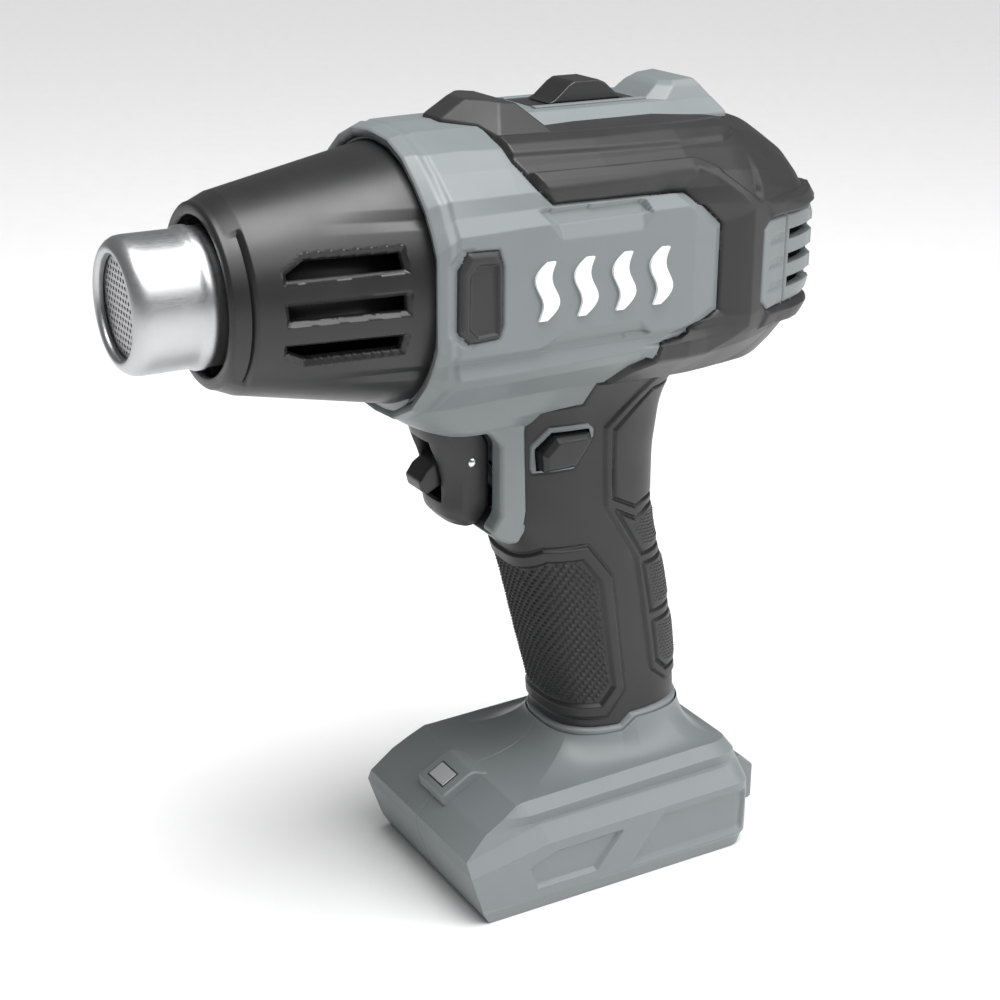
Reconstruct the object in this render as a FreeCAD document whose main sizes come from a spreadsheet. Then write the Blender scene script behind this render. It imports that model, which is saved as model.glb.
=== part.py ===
import FreeCAD, Part
import math
import os
import Sketcher

# Cordless heat gun, bare tool without its battery pack. Sizes are in mm.
# Tool coordinates: x runs back from the nozzle, z is measured from the barrel axis and
# the left-hand side is -y. Every piece is then moved to the row frame: datum_x and
# axis_z put the origin under the middle of the tool, at the underside of the foot.

V = FreeCAD.Vector
os.makedirs("parts", exist_ok=True)
doc = FreeCAD.newDocument("heat_gun")

SIZES = {
    "datum_x": -112.95, "axis_z": 203.5,
    # nozzle and heater
    "lip_front": 3.0, "tube_r": 19.0, "bead_r": 19.8, "tube_wall": 1.0, "tube_back": 84.0,
    "bead_x": 22.0, "grille_x": 5.8, "grille_r": 16.0, "grille_t": 0.8, "grille_pitch": 2.1,
    "grille_hole_r": 0.62, "grille_field_r": 13.4, "lip_hole_r": 14.4,
    "sleeve_r": 17.3, "sleeve_wall": 0.8, "sleeve_front": 12.0, "sleeve_back": 75.0,
    "core_front": 15.0, "core_back": 72.0, "core_r": 12.6, "core_plate": 1.6,
    "winding_r": 14.2, "winding_wire_r": 0.8, "winding_pitch": 4.2, "winding_count": 13,
    "flange_front": 75.4, "flange_back": 78.4, "flange_hole_r": 11.0,
    # guard around the nozzle
    "shroud_front": 27.0, "shroud_front_r": 25.65, "shroud_hole_r": 22.3, "shroud_ring_back": 31.5,
    "shroud_back": 88.0, "shroud_back_r": 38.6, "shroud_wall": 2.4,
    "slot_front": 41.0, "slot_back": 73.2,
    # fan and motor
    "duct_front": 76.0, "duct_neck_r": 19.4, "duct_r": 33.0, "duct_wall": 1.4, "duct_back": 123.0,
    "fan_front": 104.0, "fan_length": 14.0, "fan_r": 29.5, "fan_hub_r": 8.0, "fan_blades": 9,
    "shaft_r": 2.5, "shaft_front": 102.0, "shaft_back": 178.0, "shaft_play": 0.05,
    "motor_front": 128.0, "motor_back": 166.0, "motor_r": 18.0, "bearing_r": 6.0,
    # handle, trigger and foot
    "trigger_half": 11.8, "trigger_play": 0.5, "lever_half": 5.0, "pivot_x": 106.0,
    "pivot_z": -58.0, "pin_r": 1.7, "lock_near": -22.6, "lock_far": 18.6, "wall": 2.6,
        "overmould": 1.3, "foot_bottom": -203.5,
    "bay_front": 99.6, "bay_back": 193.0, "bay_half": 31.5, "bay_roof": -186.5,
    "rail_half": 15.0, "rail_top": 46.4,
}

sheet = doc.addObject("Spreadsheet::Sheet", "dims")
for row, (alias, value) in enumerate(SIZES.items(), start=1):
    sheet.set("A%d" % row, alias)
    sheet.set("B%d" % row, str(value))
    sheet.setAlias("B%d" % row, alias)
doc.recompute()


def size(spec):
    """Value of a plain number, an alias, or an (alias, offset) pair."""
    if isinstance(spec, (int, float)):
        return float(spec)
    if isinstance(spec, str):
        return float(sheet.get(spec))
    return float(sheet.get(spec[0])) + spec[1]


def formula(spec):
    if isinstance(spec, (int, float)):
        return str(spec)
    if isinstance(spec, str):
        return "dims." + spec
    return "dims.%s + (%s)" % spec


def origin_plane(body, role):
    return [f for f in body.Origin.OriginFeatures if f.Role == role][0]


def profile_sketch(body, name, points):
    """Closed outline on the body's XZ plane, every corner tied to the sheet."""
    sketch = body.newObject("Sketcher::SketchObject", name)
    sketch.AttachmentSupport = (origin_plane(body, "XZ_Plane"), [""])
    sketch.MapMode = "FlatFace"
    sketch.setExpression("AttachmentOffset.Base.x", "dims.datum_x")
    sketch.setExpression("AttachmentOffset.Base.y", "dims.axis_z")
    corners = [V(size(x), size(z), 0) for x, z in points]
    count = len(corners)
    for i in range(count):
        sketch.addGeometry(Part.LineSegment(corners[i], corners[(i + 1) % count]), False)
    for i in range(count):
        sketch.addConstraint(Sketcher.Constraint("Coincident", i, 2, (i + 1) % count, 1))
    for i, (x, z) in enumerate(points):
        along = sketch.addConstraint(Sketcher.Constraint("DistanceX", -1, 1, i, 1, size(x)))
        sketch.renameConstraint(along, "px%d" % i)
        sketch.setExpression("Constraints.px%d" % i, formula(x))
        out = sketch.addConstraint(Sketcher.Constraint("DistanceY", -1, 1, i, 1, size(z)))
        sketch.renameConstraint(out, "pz%d" % i)
        sketch.setExpression("Constraints.pz%d" % i, formula(z))
    return sketch


def turned(name, points):
    """Revolved piece about the barrel axis; points are (x, radius)."""
    body = doc.addObject("PartDesign::Body", name)
    body.Label = name
    sketch = profile_sketch(body, name + "_outline", points)
    turn = body.newObject("PartDesign::Revolution", name + "_turn")
    turn.Profile = sketch
    turn.ReferenceAxis = (sketch, ["H_Axis"])
    turn.Angle = 360
    sketch.Visibility = False
    return body


def padded(name, points, half):
    """Outline in XZ padded to both sides of the middle plane."""
    body = doc.addObject("PartDesign::Body", name)
    body.Label = name
    sketch = profile_sketch(body, name + "_outline", points)
    pad = body.newObject("PartDesign::Pad", name + "_pad")
    pad.Profile = sketch
    pad.SideType = "Symmetric"
    pad.setExpression("Length", "2 * (%s)" % formula(half))
    sketch.Visibility = False
    return body


def solid_part(name, shape):
    """Shape in tool coordinates stored as a named object in the row frame."""
    part = doc.addObject("Part::Feature", name)
    part.Label = name
    part.Shape = shape
    move = FreeCAD.Placement(V(size("datum_x"), 0, size("axis_z")), FreeCAD.Rotation())
    part.Placement = move.multiply(shape.Placement)
    return part


def group(shapes):
    return Part.makeCompound(shapes)


def fuse_all(shapes):
    whole = shapes[0]
    for other in shapes[1:]:
        whole = whole.fuse(other)
    return whole.removeSplitter()


def box(x0, x1, y0, y1, z0, z1):
    return Part.makeBox(x1 - x0, y1 - y0, z1 - z0, V(x0, y0, z0))


def prism(points, y0, y1):
    """Outline of (x, z) corners extruded along y."""
    wire = Part.makePolygon([V(x, y0, z) for x, z in points + points[:1]])
    return Part.Face(wire).extrude(V(0, y1 - y0, 0))


def chamfered_prism(points, half, bevel, inset):
    """Prism whose two side faces are drawn in by inset over the last bevel of its width."""
    cx = sum(p[0] for p in points) / len(points)
    cz = sum(p[1] for p in points) / len(points)

    def ring(y, pull):
        corners = []
        for x, z in points:
            reach = math.hypot(x - cx, z - cz)
            k = (reach - pull) / reach
            corners.append(V(cx + (x - cx) * k, y, cz + (z - cz) * k))
        return Part.makePolygon(corners + corners[:1])

    rings = [ring(-half, inset), ring(-half + bevel, 0.0), ring(half - bevel, 0.0), ring(half, inset)]
    return Part.makeLoft(rings, True, True)


def tube(x0, x1, r_out, r_in):
    outer = Part.makeCylinder(r_out, x1 - x0, V(x0, 0, 0), V(1, 0, 0))
    return outer.cut(Part.makeCylinder(r_in, x1 - x0, V(x0, 0, 0), V(1, 0, 0)))


def mirrored(shape):
    return shape.mirror(V(0, 0, 0), V(0, 1, 0))


# ---- outer form -------------------------------------------------------------------------
# Half sections of the barrel from the top centre round to the bottom centre, (y, z).
BARREL = [
    (79.5, [(0, 41.2), (12, 40.2), (24, 34.2), (34, 24.2), (40, 11), (40, -11), (34, -24), (24, -34),
        (12, -40.2), (0, -41)]),
    (86.0, [(0, 43), (12.5, 42.2), (25.5, 36), (37, 24), (41, 16), (41, -16), (37.5, -22.5),
        (26, -34.5), (13, -40.5), (0, -41)]),
    (104.0, [(0, 43.5), (14, 43), (28.5, 36.5), (38, 24.5), (40.5, 20), (40.5, -17), (37.5, -23),
        (27, -34), (14, -39.5), (0, -40.5)]),
    (135.0, [(0, 44), (16, 43), (30, 36.5), (38.5, 26), (40.5, 22), (40.5, -17.5), (38, -23.5),
        (27, -34), (14, -39), (0, -40)]),
    (162.0, [(0, 44), (16, 43), (30, 37), (38.5, 26.5), (40.5, 22), (40.5, -18), (38, -24),
        (27, -34.5), (14, -39), (0, -40)]),
    (182.0, [(0, 43), (15.5, 42), (28.5, 36.5), (37, 25.5), (39, 20), (39, -17), (36, -24),
        (26.5, -34.5), (13, -39), (0, -40)]),
    (196.0, [(0, 38.5), (14, 38), (25, 33), (33.5, 23), (35.5, 17), (35.5, -17), (32.5, -24),
        (24.5, -34), (12, -38.5), (0, -39.5)]),
    (209.0, [(0, 30), (12, 29.5), (20.5, 26), (28, 18), (30, 14), (30, -15), (27.5, -21), (20, -29),
        (10, -33), (0, -34)]),
    (217.0, [(0, 21), (10, 20.5), (17, 17.5), (23, 12), (25, 9.5), (25, -13), (22.5, -17), (16, -22.5),
        (8, -26), (0, -27)]),
    (220.5, [(0, 12.5), (7, 12.5), (12, 11), (17, 8.5), (19, 6.5), (19, -9.5), (17, -12), (12, -15),
        (6, -17.5), (0, -18)]),
]

# Handle stations: z, front x, back x, half width.
HANDLE = [
    (-30.0, 110.0, 184.0, 26.0), (-40.0, 112.5, 178.0, 22.5), (-48.0, 113.0, 174.5, 19.8),
        (-63.0, 114.0, 172.5, 19.0),
    (-83.0, 117.5, 172.5, 19.0), (-90.0, 124.0, 173.5, 19.4), (-105.0, 126.6, 178.4, 19.6),
        (-127.0, 132.2, 182.8, 19.4),
    (-146.0, 137.5, 185.0, 19.0), (-156.0, 138.5, 185.5, 19.2),
]

# Foot stations: z, front x, back x, half width, corner cut.
FOOT = [
    (-153.5, 133.0, 188.0, 21.0, 10.0), (-157.0, 128.0, 190.5, 24.0, 10.0),
        (-162.0, 119.0, 193.0, 28.0, 9.0),
    (-166.4, 111.1, 195.0, 31.1, 7.0), (-174.3, 96.8, 197.5, 32.4, 6.0), (-179.7, 91.8, 199.0, 34.0, 5.0),
    (-184.0, 92.2, 200.0, 36.2, 4.5), (-198.5, 96.8, 200.0, 35.2, 4.0), (-203.5, 99.4, 198.5, 34.2, 4.0),
]


def barrel_form(inset):
    """Loft through the barrel sections, drawn in evenly by inset."""
    wires = []
    last = len(BARREL) - 1
    for index, (x, half) in enumerate(BARREL):
        corners = []
        for y, z in half:
            reach = math.hypot(y, z)
            k = (reach - inset) / reach
            corners.append((y * k, z * k))
        ring = corners + [(-y, z) for y, z in reversed(corners[1:-1])]
        shift = -inset if index == last else 0.0
        wires.append(Part.makePolygon([V(x + shift, y, z) for y, z in ring + ring[:1]]))
    return Part.makeLoft(wires, True, True)


def rounded_ring(z, x0, x1, half, inset):
    """Sixteen-sided grip section."""
    cx = (x0 + x1) / 2
    a = (x1 - x0) / 2 - inset
    b = half - inset
    corners = []
    for i in range(16):
        angle = math.radians(11.25 + 22.5 * i)
        c = math.cos(angle)
        s = math.sin(angle)
        x = cx + a * math.copysign(abs(c) ** 0.72, c)
        y = b * math.copysign(abs(s) ** 0.72, s)
        corners.append(V(x, y, z))
    return Part.makePolygon(corners + corners[:1])


def handle_form(inset, stations=HANDLE):
    return Part.makeLoft([rounded_ring(z, x0, x1, half, inset) for z, x0, x1, half in stations],
        True, True)


def cut_corner_ring(z, x0, x1, half, corner, inset):
    x0 += inset
    x1 -= inset
    half -= inset
    corners = [
        (x0 + corner, -half), (x1 - corner, -half), (x1, -half + corner), (x1, half - corner),
        (x1 - corner, half), (x0 + corner, half), (x0, half - corner), (x0, -half + corner),
    ]
    return Part.makePolygon([V(x, y, z) for x, y in corners + corners[:1]])


def foot_form(inset, stations=FOOT):
    return Part.makeLoft([cut_corner_ring(*station, inset) for station in stations], True, True)


WALL = size("wall")
SKIN = size("overmould")
NOSE = [
    (77.5, -28.0), (77.5, -36.0), (89.0, -46.6), (111.5, -46.6), (112.6, -50.0), (112.6, -79.0), (114.5, -83.6),
    (118.5, -84.0), (124.0, -78.0), (128.0, -30.0),
]
nose_outer = chamfered_prism(NOSE, 18.6, 3.0, 2.2)

# Outline of the soft black cover seen from the side: roof, rear dome and handle.
COVER = [
    (104.0, 60.0), (104.0, 43.5), (110.4, 35.2), (119.0, 27.0), (157.0, 25.6), (161.5, 23.0),
        (172.0, 13.2),
    (172.0, -10.5), (163.4, -18.2), (151.0, -23.2), (144.0, -34.0), (139.0, -42.3), (124.0, -42.3),
        (118.2, -46.3),
    (118.4, -71.0), (119.5, -83.0), (121.0, -90.0), (121.0, -153.5), (230.0, -153.5), (230.0, 60.0),
]

barrel = barrel_form(0.0)
handle = handle_form(0.0)
outer = fuse_all([barrel, handle, nose_outer, foot_form(0.0)])
under_skin = fuse_all([barrel_form(SKIN), handle_form(SKIN)])
hollow_handle = handle_form(WALL + SKIN, HANDLE + [(-159.0, 138.8, 185.6, 19.2)])
hollow_foot = foot_form(WALL, [s for s in FOOT if -186.0 < s[0] < -156.0])
hollow_barrel = barrel_form(WALL + SKIN)
hollow = fuse_all([hollow_barrel, hollow_handle, hollow_foot])
bay = box(size("bay_front"), size("bay_back"), -size("bay_half"), size("bay_half"),
    -210.0, size("bay_roof"))
barrel_mouth = Part.makeCylinder(size("shroud_back_r") + 0.3, 12.0, V(77.0, 0, 0), V(1, 0, 0))
trigger_pocket = box(86.0, 122.0, -size("trigger_half") - 0.5, size("trigger_half") + 0.5, -80.6, -46.0)

# Cross bolt above the grip: the bolt, the hole it slides in and the raised frame round it.
LOCK = [(124.4, -55.6), (129.2, -51.0), (141.0, -51.3), (141.9, -53.6), (136.2, -61.7), (125.0, -61.7)]
LOCK_HOLE = [(123.9, -55.2), (128.9, -50.4), (141.5, -50.7), (142.5, -53.5), (136.6, -62.3),
    (124.4, -62.3)]
LOCK_FRAME = [
    (122.6, -54.0), (128.0, -48.8), (141.1, -49.0), (143.4, -51.0), (143.4, -53.4), (137.0, -63.8),
    (123.4, -63.8), (122.6, -61.4),
]
lock_room = prism(LOCK_HOLE, -30.0, 30.0)
lock_ring = handle_form(-0.8).cut(handle_form(-0.02)).common(prism(LOCK_FRAME, -30.0,
    30.0)).cut(lock_room)
lock_ring = group([s for s in lock_ring.Solids if s.Volume > 5.0])
grille_window = box(195.0, 225.0, -40.0, 40.0, -15.5, 9.0)
led_window = prism([
    (92.0, -158.0), (110.0, -158.0), (117.0, -166.4), (113.6, -171.0), (112.0, -174.0),
        (102.0, -180.0), (92.0, -176.0),
], -9.2, 9.2)

shell = outer.cut(hollow)
for hole in (bay, barrel_mouth, trigger_pocket, lock_room, grille_window, led_window):
    shell = shell.cut(hole)

cover_zone = prism(COVER, -60.0, 60.0)
full_cover = shell.common(cover_zone).cut(under_skin)
frame_shell = shell.cut(full_cover).cut(lock_ring)
cover = full_cover.cut(lock_ring)

left_side = box(60.0, 240.0, -60.0, 0.0, -215.0, 60.0)
right_side = box(60.0, 240.0, 0.0, 60.0, -215.0, 60.0)


def largest(shape):
    """The main solid of a cut, without slivers."""
    return max(shape.Solids, key=lambda s: s.Volume)


# Screws enter from the right; each is given by its (x, z) and finds the surface above it.
SCREWS = [(178.5, 4.0), (178.5, -8.0), (98.0, -40.0), (130.0, -72.0), (160.0, -96.0), (166.0, -147.0),
    (186.0, -171.5)]


def surface_y(x, z):
    crossing = Part.makeLine(V(x, 0, z), V(x, 60, z)).common(outer)
    return max(v.Y for v in crossing.Vertexes)


def screw(x, z):
    head_y = surface_y(x, z) - 2.2
    head = Part.makeCylinder(2.5, 1.6, V(x, head_y, z), V(0, 1, 0))
    head = head.cut(Part.makeCylinder(1.2, 1.0, V(x, head_y + 0.8, z), V(0, 1, 0)))
    return head.fuse(Part.makeCylinder(1.3, 6.0, V(x, head_y - 6.0, z), V(0, 1, 0)))


def screw_room(x, z):
    head_y = surface_y(x, z) - 2.25
    return Part.makeCylinder(2.6, 12.0, V(x, head_y, z), V(0, 1, 0)).fuse(
        Part.makeCylinder(1.35, 8.0, V(x, head_y - 7.9, z), V(0, 1, 0)))


screw_rooms = group([screw_room(x, z) for x, z in SCREWS])
solid_part("left_housing", largest(frame_shell.common(left_side)))
solid_part("right_housing", largest(frame_shell.common(right_side).cut(screw_rooms)))
solid_part("left_grip_cover", largest(cover.common(left_side)))
solid_part("right_grip_cover", largest(cover.common(right_side).cut(screw_rooms)))
solid_part("housing_screws", group([screw(x, z) for x, z in SCREWS]))

# ---- nozzle and heater --------------------------------------------------------------------
turned("nozzle_tube", [
    ("lip_front", 14.4), (("lip_front", 0.1), 16.4), (("lip_front", 1.6), 18.0), (("lip_front", 4.0),
        "tube_r"),
    (("bead_x", 0.0), "tube_r"), (("bead_x", 1.2), "bead_r"), (("bead_x", 3.4), "bead_r"),
        (("bead_x", 4.8), ("tube_r", 0.2)),
    ("tube_back", ("tube_r", 0.2)), ("tube_back", ("tube_r", -0.8)), (("bead_x", 4.8), ("tube_r", -0.8)),
    (("bead_x", 3.4), ("bead_r", -1.0)), (("bead_x", 1.2), ("bead_r", -1.0)),
        ("bead_x", ("tube_r", -1.0)),
    (("lip_front", 4.4), ("tube_r", -1.0)), (("lip_front", 2.4), 17.0), (("lip_front", 2.0), 14.4),
])


def grille_disc():
    disc = Part.makeCylinder(size("grille_r"), size("grille_t"), V(size("grille_x"), 0, 0), V(1, 0, 0))
    pitch = size("grille_pitch")
    reach = int(size("grille_field_r") / pitch) + 2
    drills = []
    for row in range(-reach, reach + 1):
        for col in range(-reach, reach + 1):
            y = (col + 0.5 * (row % 2)) * pitch
            z = row * pitch * math.sqrt(3) / 2
            if math.hypot(y, z) < size("grille_field_r"):
                drills.append(Part.makeCylinder(size("grille_hole_r"),
                    4.0, V(size("grille_x") - 1, y, z), V(1, 0, 0)))
    return disc.cut(group(drills))


solid_part("nozzle_grille", grille_disc())
turned("heater_sleeve", [
    ("sleeve_front", ("sleeve_r", -0.8)), ("sleeve_front", "sleeve_r"), ("sleeve_back", "sleeve_r"),
        ("sleeve_back", ("sleeve_r", -0.8)),
])


def heater_cross():
    plates = []
    for turn in (0, 60, 120):
        plate = box(size("core_front"), size("core_back"), -size("core_r"), size("core_r"), -0.8, 0.8)
        plate.rotate(V(0, 0, 0), V(1, 0, 0), turn)
        plates.append(plate)
    return fuse_all(plates)


solid_part("heater_core", heater_cross())
rings = []
for i in range(int(size("winding_count"))):
    x = size("core_front") + 3.0 + i * size("winding_pitch")
    rings.append(Part.makeTorus(size("winding_r"), size("winding_wire_r"), V(x, 0, 0), V(1, 0, 0)))
solid_part("heater_windings", group(rings))
turned("heater_flange", [
    ("flange_front", "flange_hole_r"), ("flange_front", ("tube_r", -1.1)),
        ("flange_back", ("tube_r", -1.1)), ("flange_back", "flange_hole_r"),
])
solid_part("thermal_cutout", fuse_all([box(79.0, 87.0, -3.0, 3.0, -10.6, -8.2),
    Part.makeCylinder(3.4, 2.6, V(83.0, 0, -13.2), V(0, 0, 1))]))

# ---- nozzle guard -------------------------------------------------------------------------
guard = doc.addObject("PartDesign::Body", "nozzle_guard")
guard.Label = "nozzle_guard"
guard_outline = profile_sketch(guard, "nozzle_guard_outline", [
    ("shroud_front", "shroud_hole_r"), ("shroud_front", ("shroud_front_r", -0.8)),
        (("shroud_front", 1.0), "shroud_front_r"),
    ("shroud_ring_back", ("shroud_front_r", 0.8)), (("shroud_ring_back", 0.6), ("shroud_front_r", 2.2)),
    (("shroud_back", -3.0), "shroud_back_r"), ("shroud_back", "shroud_back_r"),
        ("shroud_back", ("shroud_back_r", -2.4)),
    (("shroud_ring_back", 2.0), ("shroud_front_r", -0.4)), (("shroud_ring_back", -1.6), "shroud_hole_r"),
])
guard_turn = guard.newObject("PartDesign::Revolution", "nozzle_guard_turn")
guard_turn.Profile = guard_outline
guard_turn.ReferenceAxis = (guard_outline, ["H_Axis"])
guard_turn.Angle = 360
SLOTS = [
    [("slot_front", 8.8), ("slot_front", 10.9), (("slot_front", 5.6), 14.2), ("slot_back", 14.4),
        ("slot_back", 9.6)],
    [("slot_front", -2.6), ("slot_front", 2.2), ("slot_back", 3.0), ("slot_back", -1.9)],
    [("slot_front", -9.4), ("slot_back", -8.8), (("slot_back", -0.8), -13.5), (("slot_front", 5.0),
        -14.6), ("slot_front", -11.8)],
]
for number, slot in enumerate(SLOTS, start=1):
    slot_outline = profile_sketch(guard, "guard_slot_outline%d" % number, slot)
    slot_cut = guard.newObject("PartDesign::Pocket", "guard_slot%d" % number)
    slot_cut.Profile = slot_outline
    slot_cut.SideType = "Symmetric"
    slot_cut.Type = "ThroughAll"
    slot_outline.Visibility = False

# ---- air path and motor -------------------------------------------------------------------
turned("air_duct", [
    ("duct_front", "duct_neck_r"), ("duct_front", ("duct_neck_r", 1.6)), (88.0, ("duct_neck_r", 1.6)),
        (100.0, "duct_r"),
    ("duct_back", "duct_r"), ("duct_back", ("duct_r", -1.4)), (100.8, ("duct_r", -1.4)),
        (88.8, "duct_neck_r"),
])


def impeller():
    x0 = size("fan_front")
    length = size("fan_length")
    body = tube(x0, x0 + length, size("fan_hub_r"), size("shaft_r") + size("shaft_play"))
    body = body.fuse(tube(x0 + length - 1.6, x0 + length, size("fan_r"), size("fan_hub_r") - 0.5))
    for i in range(int(size("fan_blades"))):
        blade = box(x0 + 1.5, x0 + length - 1.0, -0.8, 0.8, size("fan_hub_r") - 0.6, size("fan_r") - 0.6)
        blade.rotate(V(x0, 0, size("fan_hub_r")), V(0, 0, 1), 8.0)
        blade.rotate(V(0, 0, 0), V(1, 0, 0), 360.0 / size("fan_blades") * i)
        body = body.fuse(blade)
    return body.removeSplitter()


solid_part("fan_impeller", impeller())
turned("motor_shaft", [("shaft_front", 0), ("shaft_front", "shaft_r"), ("shaft_back", "shaft_r"),
    ("shaft_back", 0)])
turned("motor_can", [
    ("motor_front", "bearing_r"), ("motor_front", ("motor_r", -1.5)), (("motor_front", 1.5), "motor_r"),
    ("motor_back", "motor_r"), ("motor_back", ("motor_r", -1.2)), (("motor_front", 2.0),
        ("motor_r", -1.2)),
    (("motor_front", 2.0), "bearing_r"),
])
turned("motor_armature", [
    (("motor_front", 6.0), ("shaft_r", 0.05)), (("motor_front", 6.0), 14.0), (("motor_back", -6.0), 14.0),
    (("motor_back", -6.0), ("shaft_r", 0.05)),
])
turned("motor_end_cap", [
    (("motor_back", 0.1), ("bearing_r", 0.05)), (("motor_back", 0.1), "motor_r"), (("motor_back", 3.4),
        ("motor_r", -1.0)),
    (("motor_back", 6.0), 9.0), (("motor_back", 6.0), ("bearing_r", 0.05)),
])
turned("front_bearing", [
    (("motor_front", -1.8), ("shaft_r", 0.05)), (("motor_front", -1.8), ("bearing_r", -0.05)),
    (("motor_front", 2.0), ("bearing_r", -0.05)), (("motor_front", 2.0), ("shaft_r", 0.05)),
])
turned("rear_bearing", [
    (("motor_back", 1.4), ("shaft_r", 0.05)), (("motor_back", 1.4), "bearing_r"),
    (("motor_back", 5.4), "bearing_r"), (("motor_back", 5.4), ("shaft_r", 0.05)),
])


def motor_bracket():
    x0 = size("duct_back") + 0.3
    plate = tube(x0, x0 + 3.0, 33.0, 10.0)
    for i in range(6):
        window = box(x0 - 1, x0 + 4, -6.0, 6.0, 14.0, 29.0)
        window.rotate(V(0, 0, 0), V(1, 0, 0), 60.0 * i)
        plate = plate.cut(window)
    return plate.fuse(tube(x0 + 3.0, x0 + 26.0, size("motor_r") + 1.9,
        size("motor_r") + 0.2)).removeSplitter()


solid_part("motor_bracket", motor_bracket())

# ---- rear intake ---------------------------------------------------------------------------
rear_ring = barrel_form(-1.2).cut(barrel_form(2.4))
slats = [box(195.3, 226.0, -40.0, 40.0, z, z + 2.6) for z in (-15.2, -9.2, -3.2, 2.8)]
posts = [box(195.3, 199.6, -40.0, 40.0, -15.3, 8.8), box(204.5, 206.8, -40.0, 40.0, -15.3, 8.8)]
rear_posts = [box(212.0, 226.0, y - 1.2, y + 1.2, -15.3, 8.8) for y in (-12.0, 0.0, 12.0)]
grille_bars = rear_ring.common(fuse_all(slats + posts + rear_posts))
solid_part("rear_grille", largest(grille_bars))
lips = barrel_form(-2.4).cut(barrel_form(0.0)).common(group([
    box(188.0, 226.0, -40.0, 40.0, 9.4, 13.6), box(188.0, 226.0, -40.0, 40.0, -20.2, -16.0),
]))
solid_part("rear_lips", group([s for s in lips.Solids if s.Volume > 20.0]))

# ---- roof ----------------------------------------------------------------------------------
ROOF_RAIL = [
    (113.4, 36.0), (113.4, 45.4), (116.0, 46.4), (165.0, 46.4), (169.0, 49.6), (181.5, 49.6),
        (186.5, 46.0), (188.0, 36.0),
]
roof_rail = chamfered_prism(ROOF_RAIL, size("rail_half"), 2.5, 1.8).cut(barrel_form(-0.02))
roof_rail = roof_rail.cut(box(129.0, 164.0, -6.0, 6.0, 44.9, 50.0))
solid_part("roof_rail", largest(roof_rail))
FRONT_CAP = [(96.5, 36.0), (98.0, 43.6), (103.0, 47.8), (110.0, 48.2), (113.0, 45.4), (113.1, 36.0)]
solid_part("front_cap", largest(chamfered_prism(FRONT_CAP, 14.6, 3.0, 2.0).cut(barrel_form(-0.02))))
SELECTOR = [(136.0, 46.6), (137.6, 48.0), (142.6, 51.0), (148.0, 51.0), (153.6, 48.0), (157.0, 46.6)]
selector_stem = box(140.0, 152.0, -5.6, 5.6, 45.1, 46.8)
solid_part("selector_slider", fuse_all([prism(SELECTOR, -9.0, 9.0), selector_stem]))

# ---- side panels and badges ----------------------------------------------------------------
PANEL = [
    (104.5, 12.0), (109.5, 19.0), (151.0, 19.6), (158.5, 19.6), (169.0, 10.5), (169.0, -9.5),
        (161.5, -15.6),
    (150.0, -15.6), (146.0, -17.0), (109.0, -17.0), (104.5, -12.0),
]
BADGE_PAD = [(88.6, 13.4), (97.6, 13.4), (99.6, 11.4), (99.6, -11.0), (97.6, -13.0), (88.6, -13.0),
    (86.8, -11.0), (86.8, 11.4)]


def heat_wave(x0):
    """Outline of one rising S-shaped wave, widest in the middle."""
    front = []
    back = []
    for i in range(13):
        t = i / 12
        x = x0 + 1.9 * math.sin(2 * math.pi * t) + 2.6 * t
        half = 2.7 * (1 - 0.55 * abs(2 * t - 1) ** 3)
        front.append((x - half, -7.8 + 16.4 * t))
        back.append((x + half, -7.8 + 16.4 * t))
    return front + back[::-1]


panel_left = prism(PANEL, -41.9, -36.0).cut(barrel_form(-0.02))
pad_left = prism(BADGE_PAD, -42.2, -38.0).cut(barrel_form(-0.02))
solid_part("left_panel", largest(panel_left))
solid_part("right_panel", largest(mirrored(panel_left)))
solid_part("left_pad", largest(pad_left))
solid_part("right_pad", largest(mirrored(pad_left)))
waves_left = [prism(heat_wave(x0), -43.0, -41.92) for x0 in (111.0, 123.6, 136.2, 148.8)]
solid_part("left_emblem", group(waves_left))
solid_part("right_emblem", group([mirrored(wave) for wave in waves_left]))

# ---- handle pieces -------------------------------------------------------------------------
GRIP_PAD = [(128.5, -91.0), (143.5, -93.6), (153.0, -108.0), (158.6, -124.0), (158.8, -144.0),
    (152.5, -150.5), (142.0, -150.5), (133.5, -128.0)]
pad_shell = handle_form(-0.9).cut(handle_form(-0.02))
grip_pad = pad_shell.common(prism(GRIP_PAD, -30.0, 0.0))
solid_part("left_grip_pad", largest(grip_pad))
solid_part("right_grip_pad", largest(mirrored(grip_pad)))
PALM_ZONES = [
    [(153.0, -50.0), (190.0, -50.0), (190.0, -83.0), (164.5, -83.0), (153.0, -77.0)],
    [(154.5, -80.5), (164.5, -86.0), (190.0, -86.0), (190.0, -99.0), (168.5, -99.0)],
    [(167.0, -101.0), (190.0, -101.0), (190.0, -120.0), (174.0, -120.0)],
    [(171.0, -122.0), (190.0, -122.0), (192.0, -141.5), (176.0, -141.5)],
]
palm_parts = []
for zone in PALM_ZONES:
    palm_parts.append(largest(pad_shell.common(prism(zone, -16.0, 16.0))))
solid_part("palm_pads", group(palm_parts))

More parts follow.
